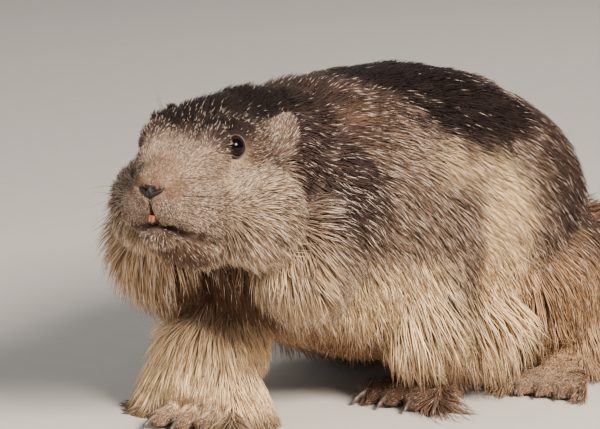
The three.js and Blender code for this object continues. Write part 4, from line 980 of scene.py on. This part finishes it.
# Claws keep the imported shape, rounded
for name in sorted(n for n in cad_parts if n.startswith("claw_")):
    shape = bmesh.new()
    shape.from_mesh(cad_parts[name].data)
    bmesh.ops.remove_doubles(shape, verts=shape.verts, dist=1e-6)
    bmesh.ops.subdivide_edges(shape, edges=shape.edges, cuts=1, use_grid_fill=True, smooth=0.7)
    finished(mesh_object("horn_" + name, shape), horn, "claw", name)


def bristle(shape, foot, way, length, droop, thick=0.16):
    """One whisker on the head: a thin cone drawn out in steps along a drooping line."""
    way = Vector(way).normalized()
    start = Matrix.Translation(foot) @ way.to_track_quat("Z", "Y").to_matrix().to_4x4()
    ring = bmesh.ops.create_circle(shape, cap_ends=True, segments=4, radius=thick, matrix=start)
    face = [f for v in ring["verts"] for f in v.link_faces][0]
    verts = list(ring["verts"])
    steps, taper = 8, 0.9
    for n in range(1, steps + 1):
        move = way * (length / steps)
        out = bmesh.ops.extrude_face_region(shape, geom=[face])["geom"]
        face = next(g for g in out if isinstance(g, bmesh.types.BMFace))
        middle = face.calc_center_median()
        shrink = (1 - n / steps * taper) / (1 - (n - 1) / steps * taper)
        for v in face.verts:
            v.co = middle + (v.co - middle) * shrink + move
        way = (way + Vector((0, 0, -droop / steps))).normalized()
        verts += list(face.verts)
    bmesh.ops.transform(shape, matrix=WORLD_HEAD, verts=verts)


# Four rows of whiskers on each side of the muzzle, and a few over each eye
draw = np.random.default_rng(8)
shape = bmesh.new()
for side in (1, -1):
    for row in range(4):
        for n in range(4):
            foot = (side * (12.5 + 1.6 * n - abs(row - 1.5)), 3 + 3.7 * n, -5 - 3.4 * row)
            out = side * (0.9 + draw.uniform(-0.1, 0.1))
            way = (out, 0.15 + 0.22 * n + draw.uniform(-0.12, 0.12), 0.16 - 0.18 * row + draw.uniform(-0.1, 0.1))
            bristle(shape, foot, way, (30 + 7 * n) * draw.uniform(0.8, 1.15), draw.uniform(0.15, 0.5))
    for n in range(5):
        foot = (side * (13 + 1.6 * n), 41 + 1.6 * n, 29 - 0.4 * n)
        way = (side * (0.5 + 0.05 * n), 0.1 * n - 0.1, 0.85)
        bristle(shape, foot, way, 22 * draw.uniform(0.75, 1.2), -0.3, 0.13)
bmesh.ops.recalc_face_normals(shape, faces=shape.faces)
finished(mesh_object("whiskers", shape), whisker_hair, "claw")

# Floor, light and camera
shape = bmesh.new()
bmesh.ops.create_grid(shape, x_segments=8, y_segments=8, size=6)
floor = mesh_object("floor", shape)
material, n, shader, links = new_material("floor_paper")
links.new(n.blend(n.noise(60.0, 4.0), linear(206, 198, 188), linear(214, 207, 198)), shader.inputs["Base Color"])
shader.inputs["Roughness"].default_value = 0.9
floor.data.materials.append(material)


AIM = BODY @ Vector((0, 20, 90))


def area_light(name, offset, size, power, colour):
    """A lamp off the point that it aims at: metres and watts."""
    light = bpy.data.lights.new(name, "AREA")
    light.size, light.energy, light.color = size, power, colour
    lamp = bpy.data.objects.new(name, light)
    lamp.location = AIM + Vector(offset)
    lamp.rotation_euler = (AIM - lamp.location).to_track_quat("-Z", "Y").to_euler()
    bpy.context.scene.collection.objects.link(lamp)


area_light("key", (1.65, -0.6, 1.15), 0.6, 122, (1, 0.92, 0.83))
area_light("fill", (-0.4, -2.2, 0.6), 1.8, 16, (0.9, 0.94, 1))
area_light("rim", (-0.6, 1.8, 1.3), 1.0, 11, (1, 0.94, 0.86))
world = bpy.data.worlds.new("studio")
bpy.context.scene.world = world
world.use_nodes = True
sky = world.node_tree.nodes["Background"].inputs
sky["Color"].default_value = (0.82, 0.86, 0.92, 1)
sky["Strength"].default_value = 0.3

AZIMUTH, ELEVATION, DISTANCE = math.radians(38), math.radians(11), 1.762
target = BODY @ Vector((0, 0, 116))
level = math.cos(ELEVATION)
back = Vector((math.sin(AZIMUTH) * level, -math.cos(AZIMUTH) * level, math.sin(ELEVATION)))
eye = bpy.data.cameras.new("camera")
eye.lens, eye.sensor_width = 183.9, 36
eye.clip_start, eye.clip_end = 0.05, 50
camera = bpy.data.objects.new("camera", eye)
camera.location = target + back * DISTANCE
camera.rotation_euler = (-back).to_track_quat("-Z", "Y").to_euler()
bpy.context.scene.collection.objects.link(camera)
bpy.context.scene.camera = camera
